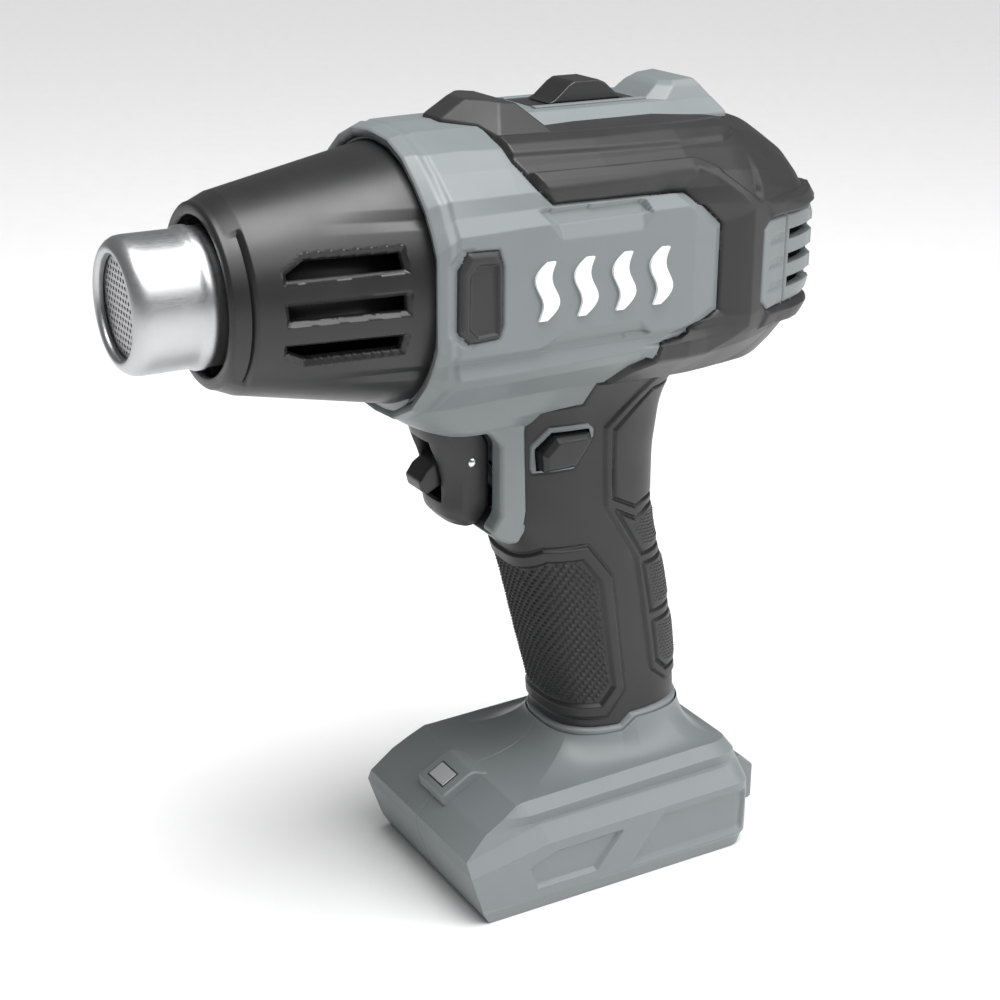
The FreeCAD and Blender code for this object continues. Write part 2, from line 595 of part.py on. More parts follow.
TRIGGER = [
    (93.0, -47.2), (107.0, -47.2), (111.9, -52.0), (111.9, -73.0), (107.5, -78.4), (101.5, -78.4), (98.6, -75.0), (98.9, -70.0),
    (97.4, -62.0), (94.2, -54.0),
]
trigger = chamfered_prism(TRIGGER, size("trigger_half"), 2.6, 1.6)
lever_room = box(88.0, 113.5, -size("lever_half") - 0.4, size("lever_half") + 0.4, -71.0, -52.2)
pin_room = Part.makeCylinder(size("pin_r") + 0.02, 40.0, V(size("pivot_x"), -20, size("pivot_z")),
    V(0, 1, 0))
trigger = trigger.cut(lever_room).cut(pin_room)
plunger = box(111.0, 123.5, -3.0, 3.0, -77.0, -71.6)
solid_part("trigger", trigger.fuse(plunger).removeSplitter())
LEVER = [(108.6, -54.8), (104.0, -54.4), (99.0, -57.6), (92.6, -60.2), (90.8, -63.4), (92.2, -66.8),
    (96.5, -66.4), (104.0, -61.6), (108.6, -61.0)]
lever = prism(LEVER, -size("lever_half"), size("lever_half"))
lever = lever.cut(Part.makeCylinder(size("pin_r") + 0.05, 40.0, V(size("pivot_x"),
    -20, size("pivot_z")), V(0, 1, 0)))
lever = lever.cut(Part.makeCylinder(3.0, 3.0, V(size("pivot_x"), -1.5, size("pivot_z")), V(0, 1, 0)))
solid_part("safety_lever", lever)
solid_part("lever_pin", Part.makeCylinder(
    size("pin_r"), 2 * size("trigger_half") + 0.8, V(size("pivot_x"),
        -size("trigger_half") - 0.4, size("pivot_z")), V(0, 1, 0)))


def coil_spring(origin, length, radius, wire, turns, axis=V(0, 1, 0), turn=90.0):
    """Round-wire spring that starts at origin; made along z, then turned about axis."""
    path = Part.makeHelix(length / turns, length, radius)
    ring = Part.Wire(Part.makeCircle(wire, V(radius, 0, 0), V(0, 1, 0)))
    coil = Part.Wire(path.Edges).makePipeShell([ring], True, True)
    coil.rotate(V(0, 0, 0), axis, turn)
    coil.translate(origin)
    return coil


solid_part("lever_spring", coil_spring(V(size("pivot_x"), 1.1, size("pivot_z")),
    2.2, 2.3, 0.25, 3, V(1, 0, 0), 90.0))
solid_part("trigger_spring", coil_spring(V(112.4, 0, -66.0), 8.4, 2.6, 0.35, 4))
switch_box = box(124.0, 148.0, -8.5, 8.5, -84.0, -62.5)
switch_mouth = box(123.0, 132.0, -3.3, 3.3, -77.3, -71.3)
spring_seat = box(121.2, 124.2, -5.0, 5.0, -71.0, -62.5)
solid_part("switch_module", fuse_all([switch_box.cut(switch_mouth), spring_seat]))

solid_part("lock_button", prism(LOCK, size("lock_near"), size("lock_far")))
solid_part("lock_frames", lock_ring)

# ---- electronics ----------------------------------------------------------------------------
padded("control_board", [(108.0, -177.2), (190.0, -177.2), (190.0, -175.6), (108.0, -175.6)], 26.0)
solid_part("board_parts", group([
    box(120.0, 132.0, -20.0, -8.0, -175.5, -171.0), box(120.0, 130.0, 6.0, 16.0, -175.5, -171.5),
    box(140.0, 150.0, -22.0, -12.0, -175.5, -169.0), box(160.0, 174.0, 4.0, 18.0, -175.5, -170.5),
]))
solid_part("terminal_block", fuse_all([
    box(166.0, 190.0, -14.0, 14.0, -194.0, -186.7), box(160.0, 166.5, -14.0, 14.0, -190.5, -186.7),
]))
solid_part("terminal_blades", group([box(150.0, 165.9, y - 0.5, y + 0.5, -196.5,
    -191.0) for y in (-11.0, -4.0, 4.0, 11.0)]))
solid_part("battery_rails", group([
    box(106.0, 190.0, -31.4, -27.0, -200.5, -197.5), box(106.0, 190.0, 27.0, 31.4, -200.5, -197.5),
]))
padded("lamp_bezel", [
    (97.4, -174.2), (96.9, -170.2), (106.4, -164.9), (108.6, -164.3), (115.4, -167.0), (112.0, -169.6),
        (104.0, -176.0),
], 8.8)
padded("lamp_board", [(105.2, -175.4), (110.4, -171.4), (111.4, -172.6), (106.2, -176.6)], 6.0)
solid_part("lamp_lens", prism([(99.1, -168.92), (104.16, -166.1), (103.9, -165.64),
    (98.84, -168.46)], -4.7, 4.7))
FOOT_PLATE = [(112.0, -186.4), (147.0, -186.4), (138.6, -195.4), (114.6, -195.4)]
plate = prism(FOOT_PLATE, -36.9, -35.0).cut(foot_form(-0.02))
solid_part("foot_plates", group([largest(plate), largest(mirrored(plate))]))
BUMPER = [
    (196.0, -175.6), (202.4, -175.8), (207.4, -180.4), (207.4, -192.6), (205.6, -193.4), (204.6, -191.8),
    (204.6, -184.6), (202.8, -182.6), (196.0, -182.6),
]
solid_part("rear_bumper", largest(prism(BUMPER, -25.5, 25.5).cut(foot_form(-0.02))))

# ---- wires ----------------------------------------------------------------------------------
def wire_run(points, radius):
    pieces = []
    for a, b in zip(points[:-1], points[1:]):
        start = V(*a)
        span = V(*b) - start
        pieces.append(Part.makeCylinder(radius, span.Length, start, span))
        pieces.append(Part.makeSphere(radius, V(*b)))
    return fuse_all(pieces)


solid_part("handle_wires", group([
    wire_run([(150.0, y, -80.0), (154.0, y, -92.0), (160.0, y, -120.0), (164.0, y, -150.0),
        (164.0, y, -168.0)], 1.1)
    for y in (-6.0, 0.0, 6.0)
]))
solid_part("motor_wires", group([
    wire_run([(152.0, y, -78.0), (156.0, y, -58.0), (168.0, y, -36.0), (176.5, y, -24.0),
        (174.5, y, -16.0)], 1.1)
    for y in (-5.0, 5.0)
]))
solid_part("heater_wires", group([
    wire_run([(90.0, y, -24.5), (99.0, y, -34.6), (142.0, y, -34.6), (148.0, y, -61.0)], 1.0)
    for y in (-4.0, 4.0)
]))

doc.recompute()

bodies = [o for o in doc.Objects if o.TypeId in ("PartDesign::Body", "Part::Feature")]
whole = FreeCAD.BoundBox()
for item in bodies:
    bad = [o.Name for o in doc.Objects if "Invalid" in o.State or "Error" in o.State]
    if bad:
        raise RuntimeError("not computed: %s" % bad)
    if item.Shape.isNull() or not item.Shape.isValid():
        raise RuntimeError("bad shape: " + item.Label)
    item.Shape.exportStep("parts/%s.step" % item.Label)
    bounds = item.Shape.BoundBox
    whole.add(bounds)
    print("%-18s solids %2d  x %7.1f %7.1f  y %6.1f %6.1f  z %6.1f %6.1f  vol %9.0f" % (
        item.Label, len(item.Shape.Solids),
            bounds.XMin, bounds.XMax, bounds.YMin, bounds.YMax, bounds.ZMin, bounds.ZMax,
        item.Shape.Volume))
print("all", len(bodies), whole)
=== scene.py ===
import math

import bmesh
import bpy
import numpy as np
from mathutils import Matrix, Vector


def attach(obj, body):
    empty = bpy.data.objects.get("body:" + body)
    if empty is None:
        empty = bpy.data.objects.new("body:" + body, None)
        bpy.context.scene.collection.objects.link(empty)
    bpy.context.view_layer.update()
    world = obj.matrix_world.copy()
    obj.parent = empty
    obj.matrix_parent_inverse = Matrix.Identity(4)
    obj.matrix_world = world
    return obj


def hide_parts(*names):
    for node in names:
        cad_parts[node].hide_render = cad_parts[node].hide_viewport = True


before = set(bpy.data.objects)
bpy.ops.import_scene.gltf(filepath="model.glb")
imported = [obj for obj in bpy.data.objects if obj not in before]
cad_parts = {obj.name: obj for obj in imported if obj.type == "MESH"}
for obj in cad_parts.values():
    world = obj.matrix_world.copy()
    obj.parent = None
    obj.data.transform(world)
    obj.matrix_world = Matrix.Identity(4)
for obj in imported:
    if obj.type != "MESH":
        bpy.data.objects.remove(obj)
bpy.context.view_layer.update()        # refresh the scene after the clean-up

# All shapes are written in tool coordinates in mm: x back from the nozzle, z from the barrel
# axis, left side -y. DATUM moves them to the row frame.
DATUM = np.array([-112.95, 0.0, 203.5])
STEP = 0.42


# ---- materials ----


def new_material(name, color, rough, metallic=0.0):
    mat = bpy.data.materials.new(name)
    mat.use_nodes = True
    tree = mat.node_tree
    shader = tree.nodes["Principled BSDF"]
    shader.inputs["Base Color"].default_value = (*color, 1.0)
    shader.inputs["Roughness"].default_value = rough
    shader.inputs["Metallic"].default_value = metallic
    return mat, tree, shader


def noise(tree, scale, detail=4.0, stretch=(1.0, 1.0, 1.0)):
    coords = tree.nodes.new("ShaderNodeTexCoord")
    mapping = tree.nodes.new("ShaderNodeMapping")
    mapping.inputs["Scale"].default_value = stretch
    tex = tree.nodes.new("ShaderNodeTexNoise")
    tex.inputs["Scale"].default_value = scale
    tex.inputs["Detail"].default_value = detail
    tree.links.new(coords.outputs["Object"], mapping.inputs["Vector"])
    tree.links.new(mapping.outputs["Vector"], tex.inputs["Vector"])
    return tex


def ramp(tree, source, low, high):
    node = tree.nodes.new("ShaderNodeMapRange")
    node.inputs["From Min"].default_value = 0.3
    node.inputs["From Max"].default_value = 0.7
    node.inputs["To Min"].default_value = low
    node.inputs["To Max"].default_value = high
    tree.links.new(source, node.inputs["Value"])
    return node.outputs["Result"]


def add_bump(tree, shader, source, strength, distance):
    bump = tree.nodes.new("ShaderNodeBump")
    bump.inputs["Strength"].default_value = strength
    bump.inputs["Distance"].default_value = distance
    tree.links.new(source, bump.inputs["Height"])
    tree.links.new(bump.outputs["Normal"], shader.inputs["Normal"])


def tint(tree, shader, color, source, spread):
    """Base colour that drifts a little lighter and darker with the texture."""
    mix = tree.nodes.new("ShaderNodeMix")
    mix.data_type = "RGBA"
    mix.inputs["A"].default_value = (*[c * (1 - spread) for c in color], 1.0)
    mix.inputs["B"].default_value = (*[min(1.0, c * (1 + spread)) for c in color], 1.0)
    tree.links.new(source, mix.inputs["Factor"])
    tree.links.new(mix.outputs["Result"], shader.inputs["Base Color"])


def grained(name, color, rough, grain=2600.0, strength=0.12, spread=0.06, coat=0.0):
    """Moulded plastic or rubber: fine spark-eroded grain, slight mottling and handling wear."""
    mat, tree, shader = new_material(name, color, rough)
    fine = noise(tree, grain, 3.0)
    broad = noise(tree, 60.0, 5.0)
    add_bump(tree, shader, fine.outputs["Fac"], strength, 0.00008)
    tint(tree, shader, color, broad.outputs["Fac"], spread)
    tree.links.new(ramp(tree, broad.outputs["Fac"], rough - 0.05, rough + 0.06), shader.inputs["Roughness"])
    shader.inputs["Coat Weight"].default_value = coat
    shader.inputs["Coat Roughness"].default_value = 0.35
    return mat


def turned_metal(name, color, rough, stretch, strength=0.1, metallic=1.0):
    mat, tree, shader = new_material(name, color, rough, metallic)
    lines = noise(tree, 900.0, 3.0, stretch)
    broad = noise(tree, 90.0, 4.0)
    add_bump(tree, shader, lines.outputs["Fac"], strength, 0.00004)
    tint(tree, shader, color, broad.outputs["Fac"], 0.07)
    tree.links.new(ramp(tree, lines.outputs["Fac"], rough - 0.05, rough + 0.08), shader.inputs["Roughness"])
    return mat


GREY = grained("grey_plastic", (0.176, 0.196, 0.200), 0.44, coat=0.15)
BLACK = grained("black_cover", (0.021, 0.021, 0.022), 0.44, grain=2200.0, strength=0.2)
GRIP = grained("black_grip", (0.012, 0.012, 0.013), 0.42, grain=2600.0, strength=0.2)
HARD_BLACK = grained("black_plastic", (0.015, 0.015, 0.016), 0.36, strength=0.1)
STEEL = turned_metal("nozzle_steel", (0.50, 0.505, 0.515), 0.36, (0.6, 3.0, 3.0), 0.12)
DISC = turned_metal("disc_steel", (0.56, 0.56, 0.57), 0.4, (3.0, 1.0, 1.0), 0.2)
SCREW = turned_metal("screw_steel", (0.72, 0.72, 0.73), 0.22, (1.0, 1.0, 1.0), 0.05)
WHITE = grained("white_print", (0.86, 0.87, 0.88), 0.42, strength=0.05, spread=0.02)
MICA = grained("mica", (0.60, 0.54, 0.42), 0.5, grain=700.0, strength=0.3)
WIRE = turned_metal("heater_wire", (0.33, 0.29, 0.27), 0.4, (1.0, 4.0, 4.0), 0.1)
COPPER = turned_metal("copper", (0.80, 0.52, 0.33), 0.3, (1.0, 1.0, 1.0), 0.05)
BOARD = grained("board_green", (0.03, 0.13, 0.06), 0.4, grain=1500.0, strength=0.1)
GLASS, glass_tree, glass_shader = new_material("lens_clear", (0.80, 0.82, 0.83), 0.12)
glass_shader.inputs["Transmission Weight"].default_value = 0.55
glass_shader.inputs["Coat Weight"].default_value = 0.6
add_bump(glass_tree, glass_shader, noise(glass_tree, 500.0).outputs["Fac"], 0.05, 0.00005)


# ---- mesh helpers ----


def to_row(points):
    return (np.asarray(points, float) + DATUM) / 1000.0


def mesh_object(name, points, faces, mat, node, body="housing", smooth=True, crease=None):
    """Mesh piece from tool-frame points; faces is an (n, 4) array or a list of tuples."""
    mesh = bpy.data.meshes.new(name)
    if isinstance(faces, np.ndarray):
        used = np.unique(faces)
        remap = np.full(len(points), -1)
        remap[used] = np.arange(len(used))
        faces = remap[faces]
        points = np.asarray(points)[used]
        mesh.vertices.add(len(points))
        mesh.vertices.foreach_set("co", to_row(points).ravel())
        width = faces.shape[1]
        mesh.loops.add(faces.size)
        mesh.loops.foreach_set("vertex_index", faces.ravel().astype(np.int32))
        mesh.polygons.add(len(faces))
        mesh.polygons.foreach_set("loop_start", (np.arange(len(faces)) * width).astype(np.int32))
        mesh.update(calc_edges=True)
    else:
        mesh.from_pydata([tuple(p) for p in to_row(points)], [], faces)
    mesh.validate()
    mesh.polygons.foreach_set("use_smooth", [smooth] * len(mesh.polygons))
    if crease:
        mesh.set_sharp_from_angle(angle=math.radians(crease))
    piece = bpy.data.objects.new(name, mesh)
    bpy.context.collection.objects.link(piece)
    mesh.materials.append(mat)
    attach(piece, body)
    if node:
        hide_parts(*([node] if isinstance(node, str) else node))
    return piece


def face_outwards(piece):
    bm = bmesh.new()
    bm.from_mesh(piece.data)
    bmesh.ops.recalc_face_normals(bm, faces=bm.faces)
    bm.to_mesh(piece.data)
    bm.free()


def fan(name, ring, middle, mat, body="housing", smooth=True):
    """Closes a ring with triangles that meet at its middle."""
    count = len(ring)
    faces = [(i, (i + 1) % count, count) for i in range(count)]
    mesh_object(name, np.concatenate([ring, [middle]]), faces, mat, None, body, smooth)


def rectangle(x0, x1, z0, z1):
    return [(x0, z0), (x1, z0), (x1, z1), (x0, z1)]


def bevelled(piece, width, segments=3, angle=25.0):
    mod = piece.modifiers.new("edges", "BEVEL")
    mod.width = width / 1000.0
    mod.segments = segments
    mod.limit_method = "ANGLE"
    mod.angle_limit = math.radians(angle)
    smooth = piece.modifiers.new("normals", "WEIGHTED_NORMAL")
    smooth.keep_sharp = False


def ring_solid(name, rings, mat, node, body="housing", bevel=0.5, segments=3, angle=25.0):
    """Closed solid through rings of equal corner count, with rounded edges."""
    count = len(rings[0])
    points = [p for ring in rings for p in ring]
    faces = [tuple(range(count))[::-1]]
    for level in range(len(rings) - 1):
        for i in range(count):
            j = (i + 1) % count
            a = level * count
            faces.append((a + i, a + j, a + count + j, a + count + i))
    faces.append(tuple(range((len(rings) - 1) * count, len(rings) * count)))
    piece = mesh_object(name, points, faces, mat, node, body)
    face_outwards(piece)
    bevelled(piece, bevel, segments, angle)


def side_solid(name, outline, y0, y1, mat, node, body="housing", bevel=0.5, segments=3):
    rings = [[(x, y, z) for x, z in outline] for y in (y0, y1)]
    ring_solid(name, rings, mat, node, body, bevel, segments)


def lathe(name, profile, mat, node, body="housing", steps=192):
    """Profile of (x, r) turned about the barrel axis."""
    profile = np.array(profile, float)
    angles = np.linspace(0, 2 * np.pi, steps, endpoint=False)
    radius = profile[:, 1][:, None]
    along = np.repeat(profile[:, 0][:, None], steps, 1)
    pts = np.stack([along, radius * np.cos(angles)[None], radius * np.sin(angles)[None]], -1)
    faces = grid_faces(len(profile), steps, wrap_rows=True)
    mesh_object(name, pts.reshape(-1, 3), faces, mat, node, body)


def grid_faces(rows, cols, wrap_rows=False):
    """Quads of a grid whose columns close round; rows close too when asked."""
    r = np.arange(rows if wrap_rows else rows - 1)
    c = np.arange(cols)
    rr, cc = np.meshgrid(r, c, indexing="ij")
    r2 = (rr + 1) % rows
    c2 = (cc + 1) % cols
    return np.stack([rr * cols + cc, rr * cols + c2, r2 * cols + c2, r2 * cols + cc], -1).reshape(-1, 4)


def grid_normals(grid):
    du = np.gradient(grid, axis=0)
    dv = (np.roll(grid, -1, 1) - np.roll(grid, 1, 1)) / 2
    n = np.cross(du, dv)
    return n / np.maximum(np.linalg.norm(n, axis=-1, keepdims=True), 1e-9)


def outward_shell(grid):
    """Normals and quads of a grid, both facing away from the middle plane."""
    normals = grid_normals(grid)
    faces = grid_faces(*grid.shape[:2])
    if (normals[..., 1] * grid[..., 1]).mean() < 0:
        return -normals, faces[:, ::-1]
    return normals, faces


def signed_distance(x, z, outline, nearest=False):
    """Distance to a closed outline, negative inside; optionally the nearest point too."""
    best = np.full(x.shape, 1e9)
    inside = np.zeros(x.shape, bool)
    near = [np.array(x), np.array(z)]
    pts = np.array(outline, float)
    for (ax, az), (bx, bz) in zip(pts, np.roll(pts, -1, 0)):
        ex, ez = bx - ax, bz - az
        t = np.clip(((x - ax) * ex + (z - az) * ez) / max(ex * ex + ez * ez, 1e-9), 0, 1)
        px, pz = ax + t * ex, az + t * ez
        d = np.hypot(x - px, z - pz)
        if nearest:
            closer = d < best
            near[0] = np.where(closer, px, near[0])
            near[1] = np.where(closer, pz, near[1])
        best = np.minimum(best, d)
        cross = (az > z) != (bz > z)
        with np.errstate(divide="ignore", invalid="ignore"):
            inside ^= cross & (x < ax + (z - az) * ex / (ez if ez else 1e-9))
    sd = np.where(inside, -best, best)
    return (sd, near) if nearest else sd


def rise(sd, width):
    """0 outside an outline, climbing to 1 over width just inside it."""
    return np.clip(-sd / width, 0, 1)


def groove(sd, half_width):
    return np.clip(1 - np.abs(sd) / half_width, 0, 1)


def edge_distance(x, z, a, b):
    """Distance to the left of the line a-b."""
    ex, ez = b[0] - a[0], b[1] - a[1]
    return ((z - a[1]) * ex - (x - a[0]) * ez) / math.hypot(ex, ez)


def snap(grid, outline, reach, limit=None):
    """Pull grid points that lie within reach of an outline onto it, seen from the side."""
    x, z = grid[..., 0], grid[..., 2]
    sd, near = signed_distance(x, z, outline, True)
    hit = np.abs(sd) < reach
    if limit is not None:
        hit &= limit
    grid[..., 0] = np.where(hit, near[0], x)
    grid[..., 2] = np.where(hit, near[1], z)


def inset(outline, depth):
    """Outline moved inwards by depth, corners mitred."""
    pts = np.array(outline, float)
    area = 0.5 * np.sum(pts[:, 0] * np.roll(pts[:, 1], -1) - np.roll(pts[:, 0], -1) * pts[:, 1])
    turn = 1.0 if area > 0 else -1.0
    out = []
    for before, here, after in zip(np.roll(pts, 1, 0), pts, np.roll(pts, -1, 0)):
        e1 = (here - before) / np.linalg.norm(here - before)
        e2 = (after - here) / np.linalg.norm(after - here)
        n1 = np.array([-e1[1], e1[0]]) * turn
        n2 = np.array([-e2[1], e2[0]]) * turn
        out.append(here + (n1 + n2) / (1 + n1 @ n2) * depth)
    return [tuple(p) for p in out]


def thick_skin(name, outer, inner, keep, mat, node):
    """Closed wall between two matching grids over the kept cells, sides included."""
    rows, cols = outer.shape[:2]
    count = rows * cols
    keep = keep.reshape(rows - 1, cols)
    kept = grid_faces(rows, cols)[keep.ravel()]
    edge_rows = np.pad(keep, ((1, 1), (0, 0)))
    r, c = np.nonzero(edge_rows[1:] != edge_rows[:-1])
    across = np.stack([r * cols + c, r * cols + (c + 1) % cols], 1)
    r, c = np.nonzero(keep != np.roll(keep, 1, 1))
    along = np.stack([r * cols + c, (r + 1) * cols + c], 1)
    edges = np.concatenate([across, along])
    walls = np.concatenate([edges, edges[:, ::-1] + count], 1)
    points = np.concatenate([outer.reshape(-1, 3), inner.reshape(-1, 3)])
    piece = mesh_object(name, points, np.concatenate([kept, kept[:, ::-1] + count, walls]), mat, node)
    face_outwards(piece)
    piece.data.set_sharp_from_angle(angle=math.radians(50))


def face_centres(grid, faces):
    flat = grid.reshape(-1, 3)
    return flat[faces].mean(1)


# ---- barrel ----
# Half sections from the top centre to the bottom centre, (y, z), at stations along x, and
# the number of cells between neighbouring corners.
BARREL = [
    (79.5, [(0, 40.2), (11, 39.2), (19.5, 35.8), (26.5, 30.6), (33.2, 24.2), (36.8, 18.6), (39.6, 13),
        (39.6, -13), (37.6, -17.2), (36, -20.5), (33.5, -24), (24, -33.4), (12, -39.2), (0, -40)]),
    (86.0, [(0, 42.2), (12.6, 41.4), (23.0, 37), (29.2, 32.6), (36.2, 26.8), (38.4, 22.4), (41.6, 18),
        (41.6, -15.4), (39.9, -17.4), (41.2, -21.9), (38, -25.5), (26, -34.5), (13, -40.5), (0, -41)]),
    (95.0, [(0, 42.4), (12.8, 41.6), (23.6, 37.4), (30, 32.8), (37, 27), (38.6, 22.6), (41.8, 18.2),
        (41.8, -15.4), (40.0, -17.4), (41.2, -21.9), (38, -25.5), (26.5, -34.5), (13, -40.2), (0, -40.8)]),
    (106.0, [(0, 42.2), (13.5, 41.6), (25.5, 37.2), (31.5, 32.8), (37.6, 27.2), (38.8, 22.8),
        (41.8, 18.6), (41.8, -15.4), (40.1, -17.4), (41.2, -21.9), (38.2, -25.5), (27, -34), (14, -39.5),
        (0, -40.5)]),
    (135.0, [(0, 42.2), (15.5, 41.4), (27.5, 37.2), (33, 33), (38, 27.6), (39.0, 23.4), (41.8, 19.0),
        (41.8, -15.6), (40.3, -17.6), (41.1, -21.7), (38.2, -25), (27, -34), (14, -39), (0, -40)]),
    (162.0, [(0, 42.2), (15.5, 41.4), (27.5, 37.4), (33, 33.4), (38, 28), (39.0, 23.6), (41.6, 19.2),
        (41.6, -16), (40.4, -18), (40.8, -21), (38, -25), (27, -34.5), (14, -39), (0, -40)]),
    (182.0, [(0, 41.4), (15, 40.6), (26, 36.8), (31.5, 32.3), (36.5, 26.5), (38, 22.5), (39.2, 18),
        (39.2, -15.5), (38.6, -18), (37.8, -20.5), (36, -24), (26.5, -34.5), (13, -39), (0, -40)]),
    (196.0, [(0, 37.6), (13.5, 37), (23, 33.6), (28, 29.8), (32.5, 24.5), (34.5, 20), (35.6, 15.5),
        (35.6, -15), (35, -18), (34, -21), (32.5, -24), (24.5, -34), (12, -38.5), (0, -39.5)]),
    (209.0, [(0, 29.6), (11.5, 29), (18.5, 26.8), (23, 23.6), (27, 19.4), (29, 16), (30.2, 12.5),
        (30.2, -13), (29.4, -16), (28.8, -18.4), (27.5, -21), (20, -29), (10, -33), (0, -34)]),
    (217.0, [(0, 21), (9.5, 20.5), (15, 18.6), (19, 16), (22.2, 13), (24, 10.8), (25.2, 8.5),
        (25.2, -11), (24.4, -13.5), (23.6, -15.4), (22.5, -17), (16, -22.5), (8, -26), (0, -27)]),
    (220.5, [(0, 12.5), (6.5, 12.4), (10.5, 11.6), (13.6, 10.4), (16.6, 8.8), (18.2, 7.4), (19.1, 6),
        (19.1, -8), (18.6, -9.6), (17.8, -11), (17, -12), (12, -15), (6, -17.5), (0, -18)]),
]
SPANS = [28, 26, 18, 22, 12, 14, 82, 7, 12, 10, 32, 30, 28]
COVER = [
    (107.6, 60), (107.6, 39.3), (108.2, 34.3), (112.1, 27.6), (116.0, 23.6), (160.2, 23.3), (173.0, 12.5),
    (173.2, -13.2), (159.6, -19.4), (152.8, -19.9), (150.0, -24.3), (145.1, -27.6), (138.8, -42.3),
    (120, -70), (240, -70), (240, 60),
]
PANEL_EDGE = [
    (40, 23.3), (160.2, 23.3), (173.0, 12.5), (173.2, -13.2), (159.6, -19.4), (152.8, -19.9), (40, -19.9),
]
CREST = [
    (40, 28.4), (163.4, 28.4), (169.8, 25.7), (182.9, 16.1), (183.2, -19.0), (169.1, -24.6),
    (154.6, -24.0), (40, -24),
]
ROOF_RIDGE = [(100, 39.6), (181.4, 38.9), (184.7, 36.9), (183.7, 35.2), (178.6, 33.9), (100, 34.9)]
TOP_SCOOP = [(110.8, 22.4), (145.4, 22.2), (147.2, 18.5), (143.7, 13.9), (117.6, 14.2)]
LOW_SCOOP = [(117.8, -11.8), (143.9, -12.2), (147.1, -15.3), (147.6, -16.8), (109.5, -16.8)]
# Each scoop: outline, front and rear edges, and height above the line where it starts.
SCOOPS = [
    (TOP_SCOOP, ((117.6, 14.2), (110.8, 22.4)), ((143.7, 13.9), (147.2, 18.5)), lambda z: z - 14.1),
    (LOW_SCOOP, ((117.8, -11.8), (109.5, -16.8)), ((143.9, -12.2), (147.1, -15.3)), lambda z: -12.0 - z),
]
PAD = [
    (84.9, 9.3), (88.0, 13.9), (97.4, 13.6), (98.9, 9), (98.9, -8), (97.6, -11.2), (88.4, -11.6),
    (84.7, -8),
]
PAD_IN = [(88.0, 7.4), (90.8, 10.6), (97.0, 10.4), (97.4, -10.0), (90.6, -10.4), (87.7, -7.5)]
PAD_STEP = [(82.4, 11.0), (86.0, 15.0), (90.0, 15.0), (90.0, -12.6), (86.0, -12.6), (82.2, -8.8)]
GRILLE = [(188.0, 8.5), (191.6, 11.3), (240, 11.3), (240, -16.2), (191.8, -16.2), (188.0, -12.6)]
LIP_TOP = [(188.0, 17.0), (240, 17.0), (240, 11.3), (191.0, 11.3)]
LIP_LOW = [(189.0, -22.0), (240, -22.0), (240, -16.2), (191.8, -16.2)]
SLOT_START = 202.0
REAR_LIMIT = 222.6
GRILLE_WALL = 2.4
FACE_Y = 41.75
FACET_SLOPE = 0.42
GAPS = [(6.4, 3.3), (-1.0, -4.2), (-8.2, -11.4)]


def smooth_rows(values, width):
    kernel = np.ones(width) / width
    before = np.repeat(values[:1], width // 2, 0)
    after = np.repeat(values[-1:], width // 2, 0)
    padded = np.concatenate([before, values, after])
    flat = padded.reshape(len(padded), -1)
    out = np.stack([np.convolve(flat[:, k], kernel, "valid") for k in range(flat.shape[1])], 1)
    return out.reshape(len(values), *values.shape[1:])


def barrel_grid():
    stations = np.array([s[0] for s in BARREL])
    halves = np.array([s[1] for s in BARREL], float)
    xs = []
    for a, b in zip(stations[:-1], stations[1:]):
        n = max(2, int(round((b - a) / STEP)))
        xs.extend(np.linspace(a, b, n, endpoint=False))
    xs = np.array(xs + [stations[-1]])
    rows = np.empty((len(xs), halves.shape[1], 2))
    for k in range(halves.shape[1]):
        for c in range(2):
            rows[:, k, c] = np.interp(xs, stations, halves[:, k, c])
    soft = smooth_rows(rows, 21)
    blend = np.clip((xs - 168) / 12, 0, 1)[:, None, None] * np.clip((218 - xs) / 4, 0, 1)[:, None, None]
    rows = rows * (1 - blend) + soft * blend
    cols = []
    for k, n in enumerate(SPANS):
        t = np.linspace(0, 1, n, endpoint=False)[None, :, None]
        cols.append(rows[:, k][:, None] * (1 - t) + rows[:, k + 1][:, None] * t)
    cols.append(rows[:, -1][:, None])
    half = np.concatenate(cols, 1)
    ring = np.concatenate([half * [-1, 1], half[:, -2:0:-1]], 1)
    grid = np.empty((*ring.shape[:2], 3))
    grid[..., 0] = xs[:, None]
    grid[..., 1:] = ring
    return grid


